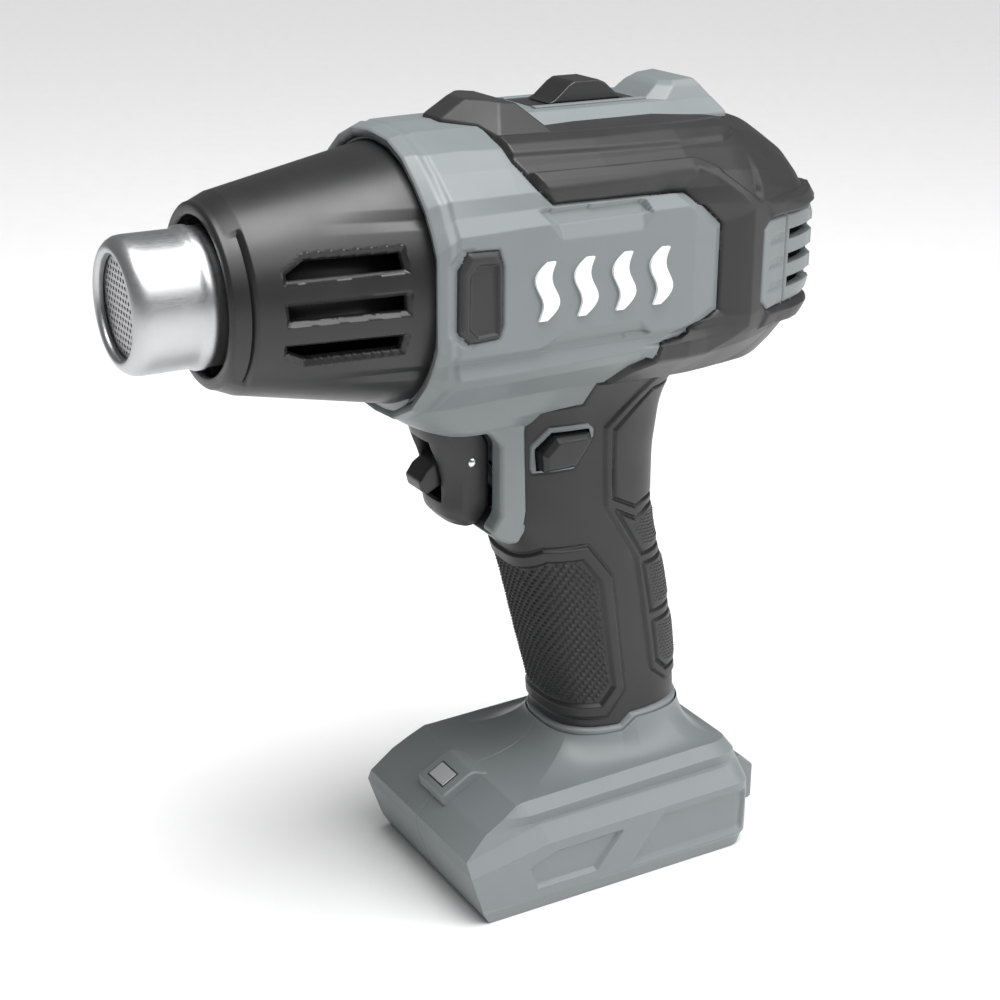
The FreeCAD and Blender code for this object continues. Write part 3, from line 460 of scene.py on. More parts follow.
def barrel_relief(x, y, z):
    d = np.zeros(x.shape)
    cover = signed_distance(x, z, COVER)
    panel = signed_distance(x, z, PANEL_EDGE)
    crest = signed_distance(x, z, CREST)
    on_cover = np.clip((-cover - 0.25) / 0.7, 0, 1)
    dip = 1.7 * np.clip((x - 146) / 8, 0, 1)
    # frame that rises from the panel to a crest and falls away behind it
    climb = np.clip(panel / np.maximum(panel - crest, 0.01), 0, 1)
    top_step = np.clip(2.0 - (crest - 2.1) / 0.7 * 2.0, 0.0, 2.0)
    fade = 2.0 * np.clip(1 - crest / 14.0, 0, 1)
    use_step = np.clip((z - 17.0) / 3.0, 0, 1) * np.clip((187 - x) / 2, 0, 1)
    behind = top_step * use_step + fade * (1 - use_step)
    inner_bevel = (2.0 + dip) * climb * np.clip(on_cover + dip, 0, 1) - dip
    d += np.where(panel > 0, np.where(crest < 0, inner_bevel, behind * on_cover), 0)
    d += 0.45 * rise(cover, 0.5) - 0.75 * groove(cover, 0.5)
    d += 1.0 * rise(signed_distance(x, z, ROOF_RIDGE), 0.8) * on_cover
    # soft bevel down to the rear end of the panel
    right = np.minimum(-edge_distance(x, z, (160.2, 23.3), (173.0, 12.5)), 173.1 - x)
    right = np.minimum(np.abs(right), np.abs(edge_distance(x, z, (173.2, -13.2), (159.6, -19.4))))
    d -= np.where(panel <= 0, dip * (1 - np.clip(right / 3.3, 0, 1)), 0)
    # tilted facets above and below the emblem
    for outline, front_edge, rear_edge, rise_z in SCOOPS:
        inside = signed_distance(x, z, outline) < 0
        ends = np.minimum(np.abs(edge_distance(x, z, *front_edge)), np.abs(edge_distance(x, z, *rear_edge)))
        depth = np.clip(np.abs(y) - (FACE_Y - FACET_SLOPE * rise_z(z)), 0, 3)
        d -= np.where(inside, np.minimum(depth, 0.9 * ends), 0)
    # side pad with its sunk middle
    pad = signed_distance(x, z, PAD)
    d -= np.where(pad > 0, 0.6 * rise(signed_distance(x, z, PAD_STEP), 0.7), 0)
    d += 0.9 * rise(pad, 1.6) - 0.6 * groove(pad, 0.45)
    d -= 1.2 * rise(signed_distance(x, z, PAD_IN), 0.8)
    # rounded rib of the collar beside the guard
    d += 0.8 * np.clip((84.6 - x) / 1.4, 0, 1) * np.clip((x - 79.0) / 0.8, 0, 1)
    # lips above and below the rear grille
    lip = np.minimum(signed_distance(x, z, LIP_TOP), signed_distance(x, z, LIP_LOW))
    grow = 0.6 + 1.6 * np.clip((x - 190) / 14, 0, 1)
    d += grow * rise(lip, 1.1)
    grille = signed_distance(x, z, GRILLE)
    d -= 0.6 * groove(grille, 0.5)
    d -= np.where(grille < 0, 0.8 * groove(x - 200.6, 0.6), 0)
    for hi, lo in GAPS:
        mark = [(191.0, lo + 0.6), (192.6, hi), (200.0, hi), (200.0, lo), (192.0, lo)]
        d -= 0.6 * rise(signed_distance(x, z, mark), 0.8)
    return d * np.clip((220.4 - x) / 2.4, 0, 1)


barrel = barrel_grid()
for outline in (COVER, PAD, GRILLE):
    snap(barrel, outline, STEP * 0.55)
for hi, lo in GAPS:
    snap(barrel, rectangle(SLOT_START, 240, hi, lo), STEP * 0.55)
barrel_n, barrel_faces = outward_shell(barrel)
barrel_n = (barrel_n + np.roll(barrel_n, 1, 1) + np.roll(barrel_n, -1, 1)) / 3
barrel_out = barrel + barrel_n * barrel_relief(barrel[..., 0], barrel[..., 1], barrel[..., 2])[..., None]
barrel_out[..., 0] = np.minimum(barrel_out[..., 0], REAR_LIMIT)
centre = face_centres(barrel, barrel_faces)
fx, fy, fz = centre[:, 0], centre[:, 1], centre[:, 2]
in_cover = signed_distance(fx, fz, COVER) < 0
in_pad = signed_distance(fx, fz, PAD) < 0
in_grille = (signed_distance(fx, fz, GRILLE) < 0) & (fx > 187)
in_lip = (np.minimum(signed_distance(fx, fz, LIP_TOP), signed_distance(fx, fz, LIP_LOW)) < 0) & (fx > 187)
in_gap = np.zeros(len(fx), bool)
for hi, lo in GAPS:
    in_gap |= (fx > SLOT_START) & (fz < hi) & (fz > lo)
flat_barrel = barrel_out.reshape(-1, 3)
for side, on_side in {"left": fy < 0, "right": fy >= 0}.items():
    soft = barrel_faces[on_side & in_cover & ~in_grille & ~in_lip]
    mesh_object(side + "_cover_skin", flat_barrel, soft, BLACK, side + "_grip_cover")
    hard = barrel_faces[on_side & ~in_cover & ~in_pad]
    mesh_object(side + "_barrel_skin", flat_barrel, hard, GREY, [side + "_housing", side + "_panel"])
    mesh_object(side + "_pad_skin", flat_barrel, barrel_faces[on_side & in_pad], BLACK, side + "_pad")
mesh_object("rear_lip_skin", flat_barrel, barrel_faces[in_lip & ~in_grille], BLACK, "rear_lips")
grille_back = barrel - GRILLE_WALL * barrel_n
thick_skin("rear_grille_skin", barrel_out, grille_back, in_grille & ~in_gap, GREY, "rear_grille")
back = barrel_out[-1]
fan("rear_cap_skin", back, [back[:, 0].mean(), 0, back[:, 2].mean()], GREY, smooth=False)

# ---- handle ----
# Grip stations: z, front x, back x, half width. The front stops at POCKET_BACK, behind the trigger.
GRIP_SQUARENESS = 0.74
POCKET_BACK = 118.2
ROW_STEP = 0.27
CELL_WIDTH = 0.32
HANDLE_REACH = 0.2
HANDLE = [
    (-30.0, 114.0, 184.0, 26.0), (-36.0, 116.5, 179.5, 23.2), (-42.0, 113.5, 176.5, 20.8),
    (-48.0, 112.0, 174.5, 19.6), (-63.0, 112.4, 172.5, 19.0), (-79.0, 114.0, 172.5, 19.0),
    (-90.0, 122.2, 173.5, 19.2), (-105.0, 126.6, 178.0, 19.4), (-127.0, 132.2, 182.4, 19.2),
    (-146.0, 137.5, 184.6, 19.0), (-159.0, 138.5, 185.0, 19.2),
]
GRIP_FRAME = [
    (90, -93.6), (122.5, -93.3), (128.3, -89.3), (142.5, -89.3), (151.6, -101.0), (157.9, -142.5),
    (151.7, -151.2), (90, -150.6),
]
GRIP_INNER = [
    (90, -97.0), (124.0, -97.0), (129.8, -93.0), (141.2, -93.0), (147.9, -101.8), (154.6, -140.5),
    (150.0, -147.2), (90, -147.0),
]
PALM_EDGE = [
    (166.0, -35.0), (147.0, -51.3), (148.2, -77.4), (160.5, -97.2), (167.9, -138.0), (174.6, -143.6),
    (210, -143.6), (210, -35.0),
]
PALMS = [
    [(150.4, -52.6), (164.1, -41.0), (210, -38.0), (210, -79.0), (164.3, -79.1), (160.2, -80.2),
        (151.2, -75.4)],
    [(152.0, -79.0), (160.3, -83.6), (166.0, -81.8), (210, -81.8), (210, -97.8), (163.0, -96.6)],
    [(163.2, -99.4), (210, -100.6), (210, -118.8), (167.0, -117.4)],
    [(167.6, -120.4), (210, -121.6), (210, -139.8), (174.6, -139.8), (170.0, -135.4)],
]
LOCK_FRAME = [
    (122.6, -54.0), (128.0, -48.8), (141.1, -49.0), (143.4, -51.0), (143.4, -53.4), (137.0, -63.0),
    (123.4, -63.0), (122.6, -61.4),
]
LOCK_HOLE = [(123.9, -55.2), (128.9, -50.3), (141.4, -50.6), (142.4, -53.4), (136.6, -62.3), (124.6, -62.2)]
GREY_FRONT = [
    (90, -20), (150, -20), (145.1, -27.6), (138.8, -42.6), (124.2, -43.0), (119.8, -47.4), (120.4, -74),
    (119.2, -80), (116, -88), (90, -88),
]
COLLAR_LINE = [
    (90, -155.8), (143.0, -154.6), (156.6, -154.9), (160.4, -151.6), (210, -150.2), (210, -170),
    (90, -170),
]


def signed_power(value):
    return np.sign(value) * np.abs(value) ** GRIP_SQUARENESS


def handle_grid():
    levels = np.linspace(-30.0, -158.5, int(128.5 / ROW_STEP))
    data = np.array(HANDLE)[::-1]
    cols = [np.interp(levels, data[:, 0], data[:, k]) for k in (1, 2, 3)]
    stack = smooth_rows(np.stack(cols, 1), 25)
    cx = (stack[:, 0] + stack[:, 1]) / 2
    a = (stack[:, 1] - stack[:, 0]) / 2
    b = stack[:, 2]
    t = np.linspace(0, 2 * np.pi, 4000)
    unit = np.stack([25.5 * signed_power(np.cos(t)), 19.4 * signed_power(np.sin(t))], 1)
    arc = np.concatenate([[0], np.cumsum(np.hypot(*np.diff(unit, axis=0).T))])
    n = int(arc[-1] / CELL_WIDTH)
    marks = np.linspace(0, arc[-1], n, endpoint=False)
    tt = np.interp(marks, arc, t)
    ex = signed_power(np.cos(tt))
    ey = signed_power(np.sin(tt))
    grid = np.empty((len(levels), n, 3))
    grid[..., 0] = np.maximum(cx[:, None] + a[:, None] * ex[None], POCKET_BACK)
    grid[..., 1] = b[:, None] * ey[None]
    grid[..., 2] = levels[:, None]
    return grid, marks


def diamonds(along, down, wide, tall, fill=0.86):
    """Staggered rows of low pyramids, height 0 to 1."""
    best = np.zeros(np.broadcast(along, down).shape)
    for shift in (0.0, 0.5):
        u = np.abs((along / wide + shift) % 1.0 - 0.5) * 2
        v = np.abs((down / tall + shift) % 1.0 - 0.5) * 2
        best = np.maximum(best, np.clip((fill - (u + 2.1 * v)) * 3.0, 0, 1))
    return best


def handle_relief(grid, arc):
    x, y, z = grid[..., 0], grid[..., 1], grid[..., 2]
    down = -(z + 0.22 * (x - 150))
    along = arc[None, :] + 0 * z
    d = np.zeros(x.shape)
    frame_d = signed_distance(x, z, GRIP_FRAME)
    inner = signed_distance(x, z, GRIP_INNER)
    d += 0.95 * rise(frame_d, 0.7) - 0.4 * groove(frame_d - 0.3, 0.5)
    d -= 1.15 * rise(inner, 1.3)
    texture = diamonds(along, down, 2.45, 2.9)
    d += 0.75 * texture * np.clip((-inner - 1.6) / 0.5, 0, 1)
    palm = signed_distance(x, z, PALM_EDGE)
    d += 0.75 * rise(palm, 1.0) - 0.2 * groove(palm - 0.1, 0.4)
    for number, outline in enumerate(PALMS):
        sd = signed_distance(x, z, outline)
        d -= 1.0 * groove(sd + 0.25, 0.75)
        d += 0.1 * rise(sd + 0.8, 0.6)
        if number:
            d += 0.35 * diamonds(along, down, 1.9, 2.2, 0.95) * np.clip((-sd - 2.0) / 0.5, 0, 1)
    side = np.clip((np.abs(y) - 8.0) / 3.0, 0, 1)
    lock = signed_distance(x, z, LOCK_FRAME)
    hole = signed_distance(x, z, LOCK_HOLE)
    d += side * (0.35 * rise(lock, 0.3) - 0.25 * groove(lock - 0.2, 0.35) - 2.8 * rise(hole, 0.5))
    front = signed_distance(x, z, GREY_FRONT)
    d -= 0.5 * groove(front, 0.5)
    collar = signed_distance(x, z, COLLAR_LINE)
    d -= 0.6 * groove(collar, 0.5) - 0.9 * rise(collar, 0.8)
    return d


handle, handle_arc = handle_grid()
for outline in (LOCK_FRAME, LOCK_HOLE, GREY_FRONT, COLLAR_LINE):
    snap(handle, outline, HANDLE_REACH)
handle_n, handle_faces = outward_shell(handle)
handle_out = handle + handle_n * handle_relief(handle, handle_arc)[..., None]
centre = face_centres(handle, handle_faces)
hx, hy, hz = centre[:, 0], centre[:, 1], centre[:, 2]
grey_front = signed_distance(hx, hz, GREY_FRONT) < 0
collar_low = signed_distance(hx, hz, COLLAR_LINE) < 0
in_lock_frame = (signed_distance(hx, hz, LOCK_FRAME) < 0) & (signed_distance(hx, hz, LOCK_HOLE) > 0)
in_lock_frame &= np.abs(hy) > 9
in_grip = signed_distance(hx, hz, GRIP_FRAME) < 0
in_palm = np.zeros(len(hx), bool)
for outline in PALMS:
    in_palm |= signed_distance(hx, hz, outline) < 0
flat_handle = handle_out.reshape(-1, 3)
for side, on_side in {"left": hy < 0, "right": hy >= 0}.items():
    plain = on_side & ~grey_front & ~collar_low & ~in_lock_frame & ~in_grip & ~in_palm
    mesh_object(side + "_handle_skin", flat_handle, handle_faces[plain], GRIP, side + "_grip_cover")
    hard = on_side & (grey_front | collar_low)
    mesh_object(side + "_handle_front", flat_handle, handle_faces[hard], GREY, side + "_housing")
    knurled = on_side & in_grip & ~grey_front & ~collar_low
    mesh_object(side + "_knurled_grip", flat_handle, handle_faces[knurled], GRIP, side + "_grip_pad")
mesh_object("palm_skin", flat_handle, handle_faces[in_palm & ~in_lock_frame], GRIP, "palm_pads")
mesh_object("lock_frame_skin", flat_handle, handle_faces[in_lock_frame], GREY, "lock_frames")

# ---- foot ----
# Rings from the shoulder down and round into the bay: front corner, knee on the side, rear of
# the side and rear corner, each (x, y, z) for one half; FOOT_STEPS are the rows between them.
FOOT = [
    ((111.1, 30.6, -166.4), (113.5, 30.2, -166.2), (182.0, 30.2, -164.4), (194.5, 23.0, -165.8)),
    ((105.4, 31.6, -169.6), (114.5, 33.2, -169.8), (184.5, 33.2, -168.2), (196.6, 25.5, -169.2)),
    ((99.5, 31.9, -172.8), (116.4, 32.1, -173.4), (189.0, 32.1, -172.2), (198.0, 25.6, -172.6)),
    ((91.9, 33.2, -179.7), (118.2, 32.3, -174.0), (190.2, 32.3, -173.2), (198.6, 26.0, -174.0)),
    ((92.2, 36.2, -184.4), (120.6, 36.2, -179.6), (192.4, 36.2, -178.8), (200.2, 28.5, -179.6)),
    ((93.0, 36.1, -187.0), (120.6, 36.1, -184.0), (193.0, 36.1, -184.0), (200.4, 28.5, -184.0)),
    ((96.6, 35.6, -197.6), (120.6, 35.6, -198.4), (193.6, 35.6, -198.4), (200.4, 28.5, -198.4)),
    ((97.2, 34.8, -199.4), (120.6, 34.8, -199.6), (193.4, 34.8, -199.8), (199.8, 28.0, -199.8)),
    ((99.6, 34.2, -203.5), (120.6, 34.2, -203.5), (192.6, 34.2, -203.5), (198.8, 27.5, -203.5)),
    ((100.6, 32.0, -203.5), (120.6, 32.0, -203.5), (190.6, 32.0, -203.5), (195.0, 26.5, -203.5)),
    ((101.0, 31.6, -203.0), (120.6, 31.6, -203.0), (190.0, 31.6, -203.0), (193.4, 26.0, -203.0)),
    ((99.8, 31.5, -186.6), (120.6, 31.5, -186.6), (190.0, 31.5, -186.6), (193.2, 26.0, -186.6)),
]
FOOT_STEPS = [10, 9, 8, 14, 8, 30, 5, 10, 5, 3, 24]
PLATE = [(113.0, -186.8), (123.2, -183.2), (148.8, -182.6), (138.4, -195.4), (116.0, -195.3)]
SHOULDER = [(163.1, -181.6), (240, -181.2), (240, -198.0), (151.0, -198.0)]


def foot_ring(level):
    corner, knee, rear, end = [np.array(p, float) for p in level]
    front = np.array([corner[0], 0.0, corner[2]])
    tail = np.array([end[0], 0.0, end[2]])
    bend = np.array([end[0] - 0.4, rear[1] - 0.4, (rear[2] + end[2]) / 2])
    path = []
    for a, b, n in ((front, corner, 74), (corner, knee, 40), (knee, rear, 165)):
        t = np.linspace(0, 1, n, endpoint=False)[:, None]
        path.append(a * (1 - t) + b * t)
    t = np.linspace(0, 1, 34, endpoint=False)[:, None]
    path.append(rear * (1 - t) ** 2 + 2 * bend * t * (1 - t) + end * t ** 2)
    t = np.linspace(0, 1, 60)[:, None]
    path.append(end * (1 - t) + tail * t)
    return np.concatenate(path)


def foot_grid():
    rings = [foot_ring(level) for level in FOOT]
    plate_edge = rings[0]
    angle = np.arctan2(plate_edge[:, 1], plate_edge[:, 0] - 161.5)
    ca, sa = np.cos(angle), np.sin(angle)
    # follow the grip's rounded section at the same bearing
    k = (np.abs(ca / 24.6) ** 2.7 + np.abs(sa / 20.4) ** 2.7) ** (-1 / 2.7)
    neck = np.stack([161.6 + ca * k, sa * k, np.full(len(ca), -156.8)], 1)
    neck[:, 2] += 3.6 * np.clip((neck[:, 0] - 157) / 5, 0, 1)
    rows = []
    for t in np.linspace(0, 1, 46, endpoint=False):
        out = t ** 1.25
        drop = 1 - (1 - t) ** 2.3
        ring = neck * (1 - out) + plate_edge * out
        ring[:, 2] = neck[:, 2] * (1 - drop) + plate_edge[:, 2] * drop
        rows.append(ring)
    for a, b, n in zip(rings[:-1], rings[1:], FOOT_STEPS):
        for t in np.linspace(0, 1, n, endpoint=False):
            rows.append(a * (1 - t) + b * t)
    rows.append(rings[-1])
    half = np.array(rows)
    return np.concatenate([half * [1, -1, 1], half[:, -2:0:-1]], 1)


foot = foot_grid()
foot_n, foot_faces = outward_shell(foot)
fxg, fyg, fzg = foot[..., 0], foot[..., 1], foot[..., 2]
snap(foot, PLATE, 0.25, np.abs(fyg) > 35.0)
on_side = np.clip((np.abs(fyg) - 34.9) / 0.4, 0, 1)
plate_sd = signed_distance(fxg, fzg, PLATE)
relief = -1.3 * rise(plate_sd, 1.4)
relief -= 1.3 * rise(signed_distance(fxg, fzg, SHOULDER), 2.2)
relief *= on_side
seam = groove(fyg, 0.32) * np.clip((192 - fxg) / 2, 0, 1) * np.where(fzg > -198, 1, 0)
relief -= 0.18 * seam
foot_out = foot + foot_n * relief[..., None]
centre = face_centres(foot, foot_faces)
flat_foot = foot_out.reshape(-1, 3)
in_plate = (signed_distance(centre[:, 0], centre[:, 2], PLATE) < 0) & (np.abs(centre[:, 1]) > 34)
for side, on_half in {"left": centre[:, 1] < 0, "right": centre[:, 1] >= 0}.items():
    skin = foot_faces[on_half & ~in_plate]
    mesh_object(side + "_foot_skin", flat_foot, skin, GREY, side + "_housing", crease=24)
mesh_object("foot_plate_skin", flat_foot, foot_faces[in_plate], GREY, "foot_plates", crease=24)
fan("bay_roof_skin", foot_out[-1], [150.0, 0.0, -186.6], GREY)

BEZEL = [
    (97.4, -174.2), (96.9, -170.2), (106.4, -164.9), (108.6, -164.3), (115.4, -167.0), (112.0, -171.0),
    (104.0, -176.0),
]
side_solid("lamp_bezel_block", BEZEL, -8.6, 8.6, GREY, "lamp_bezel", bevel=0.9)
lens_dir = np.array([9.5, 5.3]) / math.hypot(9.5, 5.3)
lens_out = np.array([-lens_dir[1], lens_dir[0]])
lens_mid = np.array([101.6, -167.6])


def lamp_plate(half, height):
    """Outline lying on the bezel's sloping face."""
    corners = rectangle(-half, half, -1.0, height)
    return [tuple(lens_mid + lens_dir * along + lens_out * out) for along, out in corners]


side_solid("lamp_rim", lamp_plate(3.4, 0.12), -5.2, 5.2, HARD_BLACK, None, bevel=0.2)
side_solid("lamp_window", lamp_plate(2.9, 0.35), -4.7, 4.7, GLASS, "lamp_lens", bevel=0.3)
HOOK = [
    (196.0, -175.6), (202.4, -175.8), (207.4, -180.4), (207.4, -192.6), (205.6, -193.4), (204.6, -191.8),
    (204.6, -184.6), (202.8, -182.6), (196.0, -182.6),
]
side_solid("rear_hook", HOOK, -25.5, 25.5, GREY, "rear_bumper", bevel=0.7)
GAP_PAD = [(196.0, -182.4), (202.6, -182.4), (203.6, -186.0), (203.4, -192.0), (196.0, -195.0)]
side_solid("rear_gap_pad", GAP_PAD, -26.6, 26.6, GRIP, None, bevel=1.0)

# ---- nose, trigger and lever ----


def nose_ring(x0, half, z):
    """Plan outline at one level: rounded prow, straight sides running back into the handle."""
    t = np.linspace(-np.pi / 2, np.pi / 2, 41)
    px = x0 + 15.0 * (1 - np.abs(np.cos(t)) ** 0.7)
    py = half * np.sign(np.sin(t)) * np.abs(np.sin(t)) ** 0.7
    front = np.stack([px, py, np.full(41, z)], 1)
    end = float(np.interp(-z, [20, 28, 42, 42.8, 47.0], [146.0, 144.4, 138.2, 124.0, 119.6]))
    middle = (end + x0 + 15) / 2
    back = np.array([[middle, half, z], [end, half, z], [end, -half, z], [middle, -half, z]])
    return np.concatenate([front, back])


NOSE_Z = np.concatenate([np.linspace(-20.0, -42.0, 34), np.linspace(-42.6, -47.0, 14)])
nose_front = np.interp(-NOSE_Z, [20, 33, 36, 40, 44, 46, 47], [77.6, 77.6, 78.2, 80.6, 85.6, 89.5, 92.6])
nose_half = np.interp(
    -NOSE_Z, [20, 26, 30, 36, 42, 45, 46.2, 47], [34.0, 29.6, 26.3, 23.5, 21.1, 20.2, 19.6, 18.2])
nose_front = smooth_rows(nose_front[:, None], 5)[:, 0]
nose_half = smooth_rows(nose_half[:, None], 5)[:, 0]
nose = np.array([nose_ring(x0, half, z) for x0, half, z in zip(nose_front, nose_half, NOSE_Z)])
nose_faces = grid_faces(len(nose), nose.shape[1])[:, ::-1]
mesh_object("nose_skin", nose.reshape(-1, 3), nose_faces, GREY, ["left_housing", "right_housing"])
fan("nose_base", nose[-1], [110.0, 0.0, -47.0], GREY)
CHEEK = [
    (102.0, -43.0), (105.0, -46.6), (108.4, -47.8), (111.5, -51.4), (111.6, -73.6), (108.2, -78.6),
    (110.4, -81.4), (114.6, -83.6), (118.2, -84.0), (119.6, -80.2), (120.6, -74.0), (119.8, -47.4),
    (122.0, -43.0),
]
for side, y0, y1 in (("left", -19.2, -12.5), ("right", 12.5, 19.2)):
    side_solid(side + "_cheek", CHEEK, y0, y1, GREY, side + "_housing", bevel=1.5, segments=4)
LOBE = [
    (108.0, -79.2), (110.4, -81.4), (114.6, -83.6), (118.4, -84.0), (120.6, -81.0), (121.0, -78.6),
    (118.0, -78.6), (112.0, -79.2),
]
side_solid("guard_lobe", LOBE, -17.9, 17.9, GREY, None, bevel=0.8, segments=4)


def trigger_skin():
    levels = np.linspace(-47.2, -78.4, 120)
    front = np.interp(
        -levels, [47.2, 50, 54, 58, 63, 68, 73, 76.4, 78.4],
        [92.8, 93.2, 94.6, 96.3, 97.6, 98.0, 97.8, 98.8, 101.6])
    back = np.interp(
        -levels, [47.2, 50.5, 53, 72.6, 76.2, 78.4],
        [107.2, 110.6, 111.8, 111.8, 109.6, 106.8])
    front = smooth_rows(front[:, None], 11)[:, 0]
    rows = []
    for z, x0, x1 in zip(levels, front, back):
        edge = min(z + 78.4, 2.0) / 2.0
        half = 11.8 - 1.4 * (1 - math.sqrt(max(0.0, 1 - (1 - edge) ** 2)))
        t = np.linspace(0, np.pi, 70)
        across = -half * np.cos(t)
        lean = 4.6 * np.abs(across / 11.8) ** 3.2
        rim = np.stack([x0 + lean, across, np.full(70, z)], 1)
        side_l = np.stack([np.linspace(rim[-1, 0], x1 - 1.4, 24)[1:], np.full(23, half), np.full(23, z)], 1)
        corner = np.array([[x1 - 0.4, half - 0.4, z], [x1, half - 1.4, z]])
        behind = np.stack([np.full(30, x1), np.linspace(half - 2, -half + 2, 30), np.full(30, z)], 1)
        corner2 = corner[::-1] * [1, -1, 1]
        side_r = side_l[::-1] * [1, -1, 1]
        rows.append(np.concatenate([rim, side_l, corner, behind, corner2, side_r]))
    return np.array(rows)


trigger = trigger_skin()
# the safety lever's room is sunk into the front
slot_depth = np.clip((5.6 - np.abs(trigger[..., 1])) / 0.35, 0, 1)
slot_depth *= np.clip((trigger[..., 2] + 71.2) / 0.5, 0, 1)
slot_depth *= np.clip((-51.6 - trigger[..., 2]) / 0.5, 0, 1) * (trigger[..., 0] < 104)
trigger[..., 0] += slot_depth * 7.0
trigger_faces = grid_faces(*trigger.shape[:2])
mesh_object("trigger_skin", trigger.reshape(-1, 3), trigger_faces, HARD_BLACK, "trigger", "trigger")
for name, row in (("trigger_top", trigger[0]), ("trigger_base", trigger[-1])):
    fan(name, row, row.mean(0), HARD_BLACK, "trigger")
PLUNGER = rectangle(111.0, 123.5, -77.0, -71.6)
side_solid("trigger_plunger", PLUNGER, -3.0, 3.0, HARD_BLACK, None, "trigger", bevel=0.4)
LEVER = [
    (108.4, -54.9), (103.6, -54.6), (98.6, -57.6), (94.0, -60.6), (91.6, -64.0), (92.4, -67.2),
    (94.6, -68.4), (98.4, -66.6), (103.6, -62.4), (108.4, -61.0),
]
side_solid("safety_lever_shape", LEVER, -4.8, 4.8, HARD_BLACK, "safety_lever", "safety_lever", bevel=0.8)


def dome(name, x, z, y, radius, mat, node, body):
    mesh = bpy.data.meshes.new(name)
    bm = bmesh.new()
    bmesh.ops.create_uvsphere(bm, u_segments=32, v_segments=20, radius=radius / 1000.0)
    centre_row = to_row([[x, y, z]])[0]
    bmesh.ops.translate(bm, verts=bm.verts, vec=Vector(centre_row))
    bm.to_mesh(mesh)
    bm.free()
    mesh.polygons.foreach_set("use_smooth", [True] * len(mesh.polygons))
    mesh.materials.append(mat)
    piece = bpy.data.objects.new(name, mesh)
    bpy.context.collection.objects.link(piece)
    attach(piece, body)
    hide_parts(node)


for side, sign in (("left", -1), ("right", 1)):
    dome(side + "_pin_head", 106.0, -58.0, sign * 10.3, 2.1, SCREW, "lever_pin", "trigger")

# ---- lock button ----
LOCK_BASE = [(124.4, -55.6), (129.2, -51.0), (141.0, -51.3), (141.9, -53.6), (136.2, -61.7), (125.0, -61.7)]
LOCK_FACE = [(125.6, -56.6), (129.7, -52.8), (139.6, -53.0), (140.2, -54.4), (135.4, -60.4), (126.2, -60.4)]
LOCK_LEVELS = [(-22.6, LOCK_FACE), (-21.2, LOCK_BASE), (17.4, LOCK_BASE), (18.6, LOCK_FACE)]
lock_rings = [[(x, y, z) for x, z in outline] for y, outline in LOCK_LEVELS]
ring_solid("lock_button_shape", lock_rings, HARD_BLACK, "lock_button", "lock_button", bevel=0.45)

# ---- roof ----


def mirror_ring(half):
    """Ring from left-half points listed front to back, closed round the right side."""
    return [(x, -y, z) for x, y, z in half] + [(x, y, z) for x, y, z in reversed(half)]


CAP_BASE = mirror_ring([(98.6, 5.2, 40.0), (106.0, 14.0, 40.0), (108.6, 22.4, 37.6), (126.6, 23.2, 37.6)])
CAP_LOW = mirror_ring([(98.8, 5.0, 43.0), (106.2, 13.6, 42.0), (108.9, 21.6, 39.4), (126.4, 22.6, 39.4)])
CAP_TOP = mirror_ring([(107.0, 4.6, 48.0), (111.6, 9.6, 48.0), (114.0, 12.0, 47.6), (119.4, 12.0, 47.0)])
ring_solid("front_cap_shape", [CAP_BASE, CAP_LOW, CAP_TOP], BLACK, "front_cap", bevel=0.7)
RAIL_BASE = mirror_ring([(112.0, 18.6, 38.6), (187.6, 18.6, 38.6)])
RAIL_LOW = mirror_ring([(112.0, 18.4, 40.2), (188.0, 18.4, 40.2)])
RAIL_TOP = mirror_ring([(112.0, 13.8, 44.3), (185.6, 13.8, 44.3)])
ring_solid("roof_rail_shape", [RAIL_BASE, RAIL_LOW, RAIL_TOP], GREY, "roof_rail", bevel=0.5)
side_solid("slot_bed", rectangle(128.0, 164.0, 44.2, 44.42), -7.6, 7.6, HARD_BLACK, None, bevel=0.1)
for side, y0, y1 in (("left", -10.0, -7.6), ("right", 7.6, 10.0)):
    side_solid(side + "_slot_edge", rectangle(127.0, 165.0, 44.0, 44.9), y0, y1, GREY, None, bevel=0.3)
HUMP_LOW = mirror_ring([(164.0, 9.0, 43.6), (168.6, 13.9, 43.6), (187.4, 14.8, 42.0)])
HUMP_MID = mirror_ring([(169.2, 8.0, 47.9), (173.2, 11.4, 47.7), (182.4, 12.2, 47.8)])
HUMP_TOP = mirror_ring([(171.2, 6.4, 49.0), (174.6, 9.6, 49.2), (181.0, 10.4, 49.6)])
ring_solid("roof_hump", [HUMP_LOW, HUMP_MID, HUMP_TOP], GREY, "roof_rail", bevel=0.6, angle=8)
SELECTOR = [
    (133.8, 44.6), (136.0, 45.6), (140.6, 49.4), (142.6, 50.5), (150.6, 50.5), (152.8, 49.6),
    (157.6, 45.6), (160.0, 44.6),
]
side_solid(
    "selector_shape", SELECTOR, -6.4, 6.4, HARD_BLACK, "selector_slider", "selector", bevel=0.9, segments=4)

# ---- emblem: four rising heat waves ----


def wave(x0):
    centre = []
    for t in np.linspace(0, 1, 26):
        half = 2.7 * (1 - 0.55 * abs(2 * t - 1) ** 3)
        centre.append((x0 + 1.9 * math.sin(t * 2 * math.pi) + 2.6 * t, -7.8 + 16.4 * t, half))
    return [(x - w, z) for x, z, w in centre] + [(x + w, z) for x, z, w in reversed(centre)]


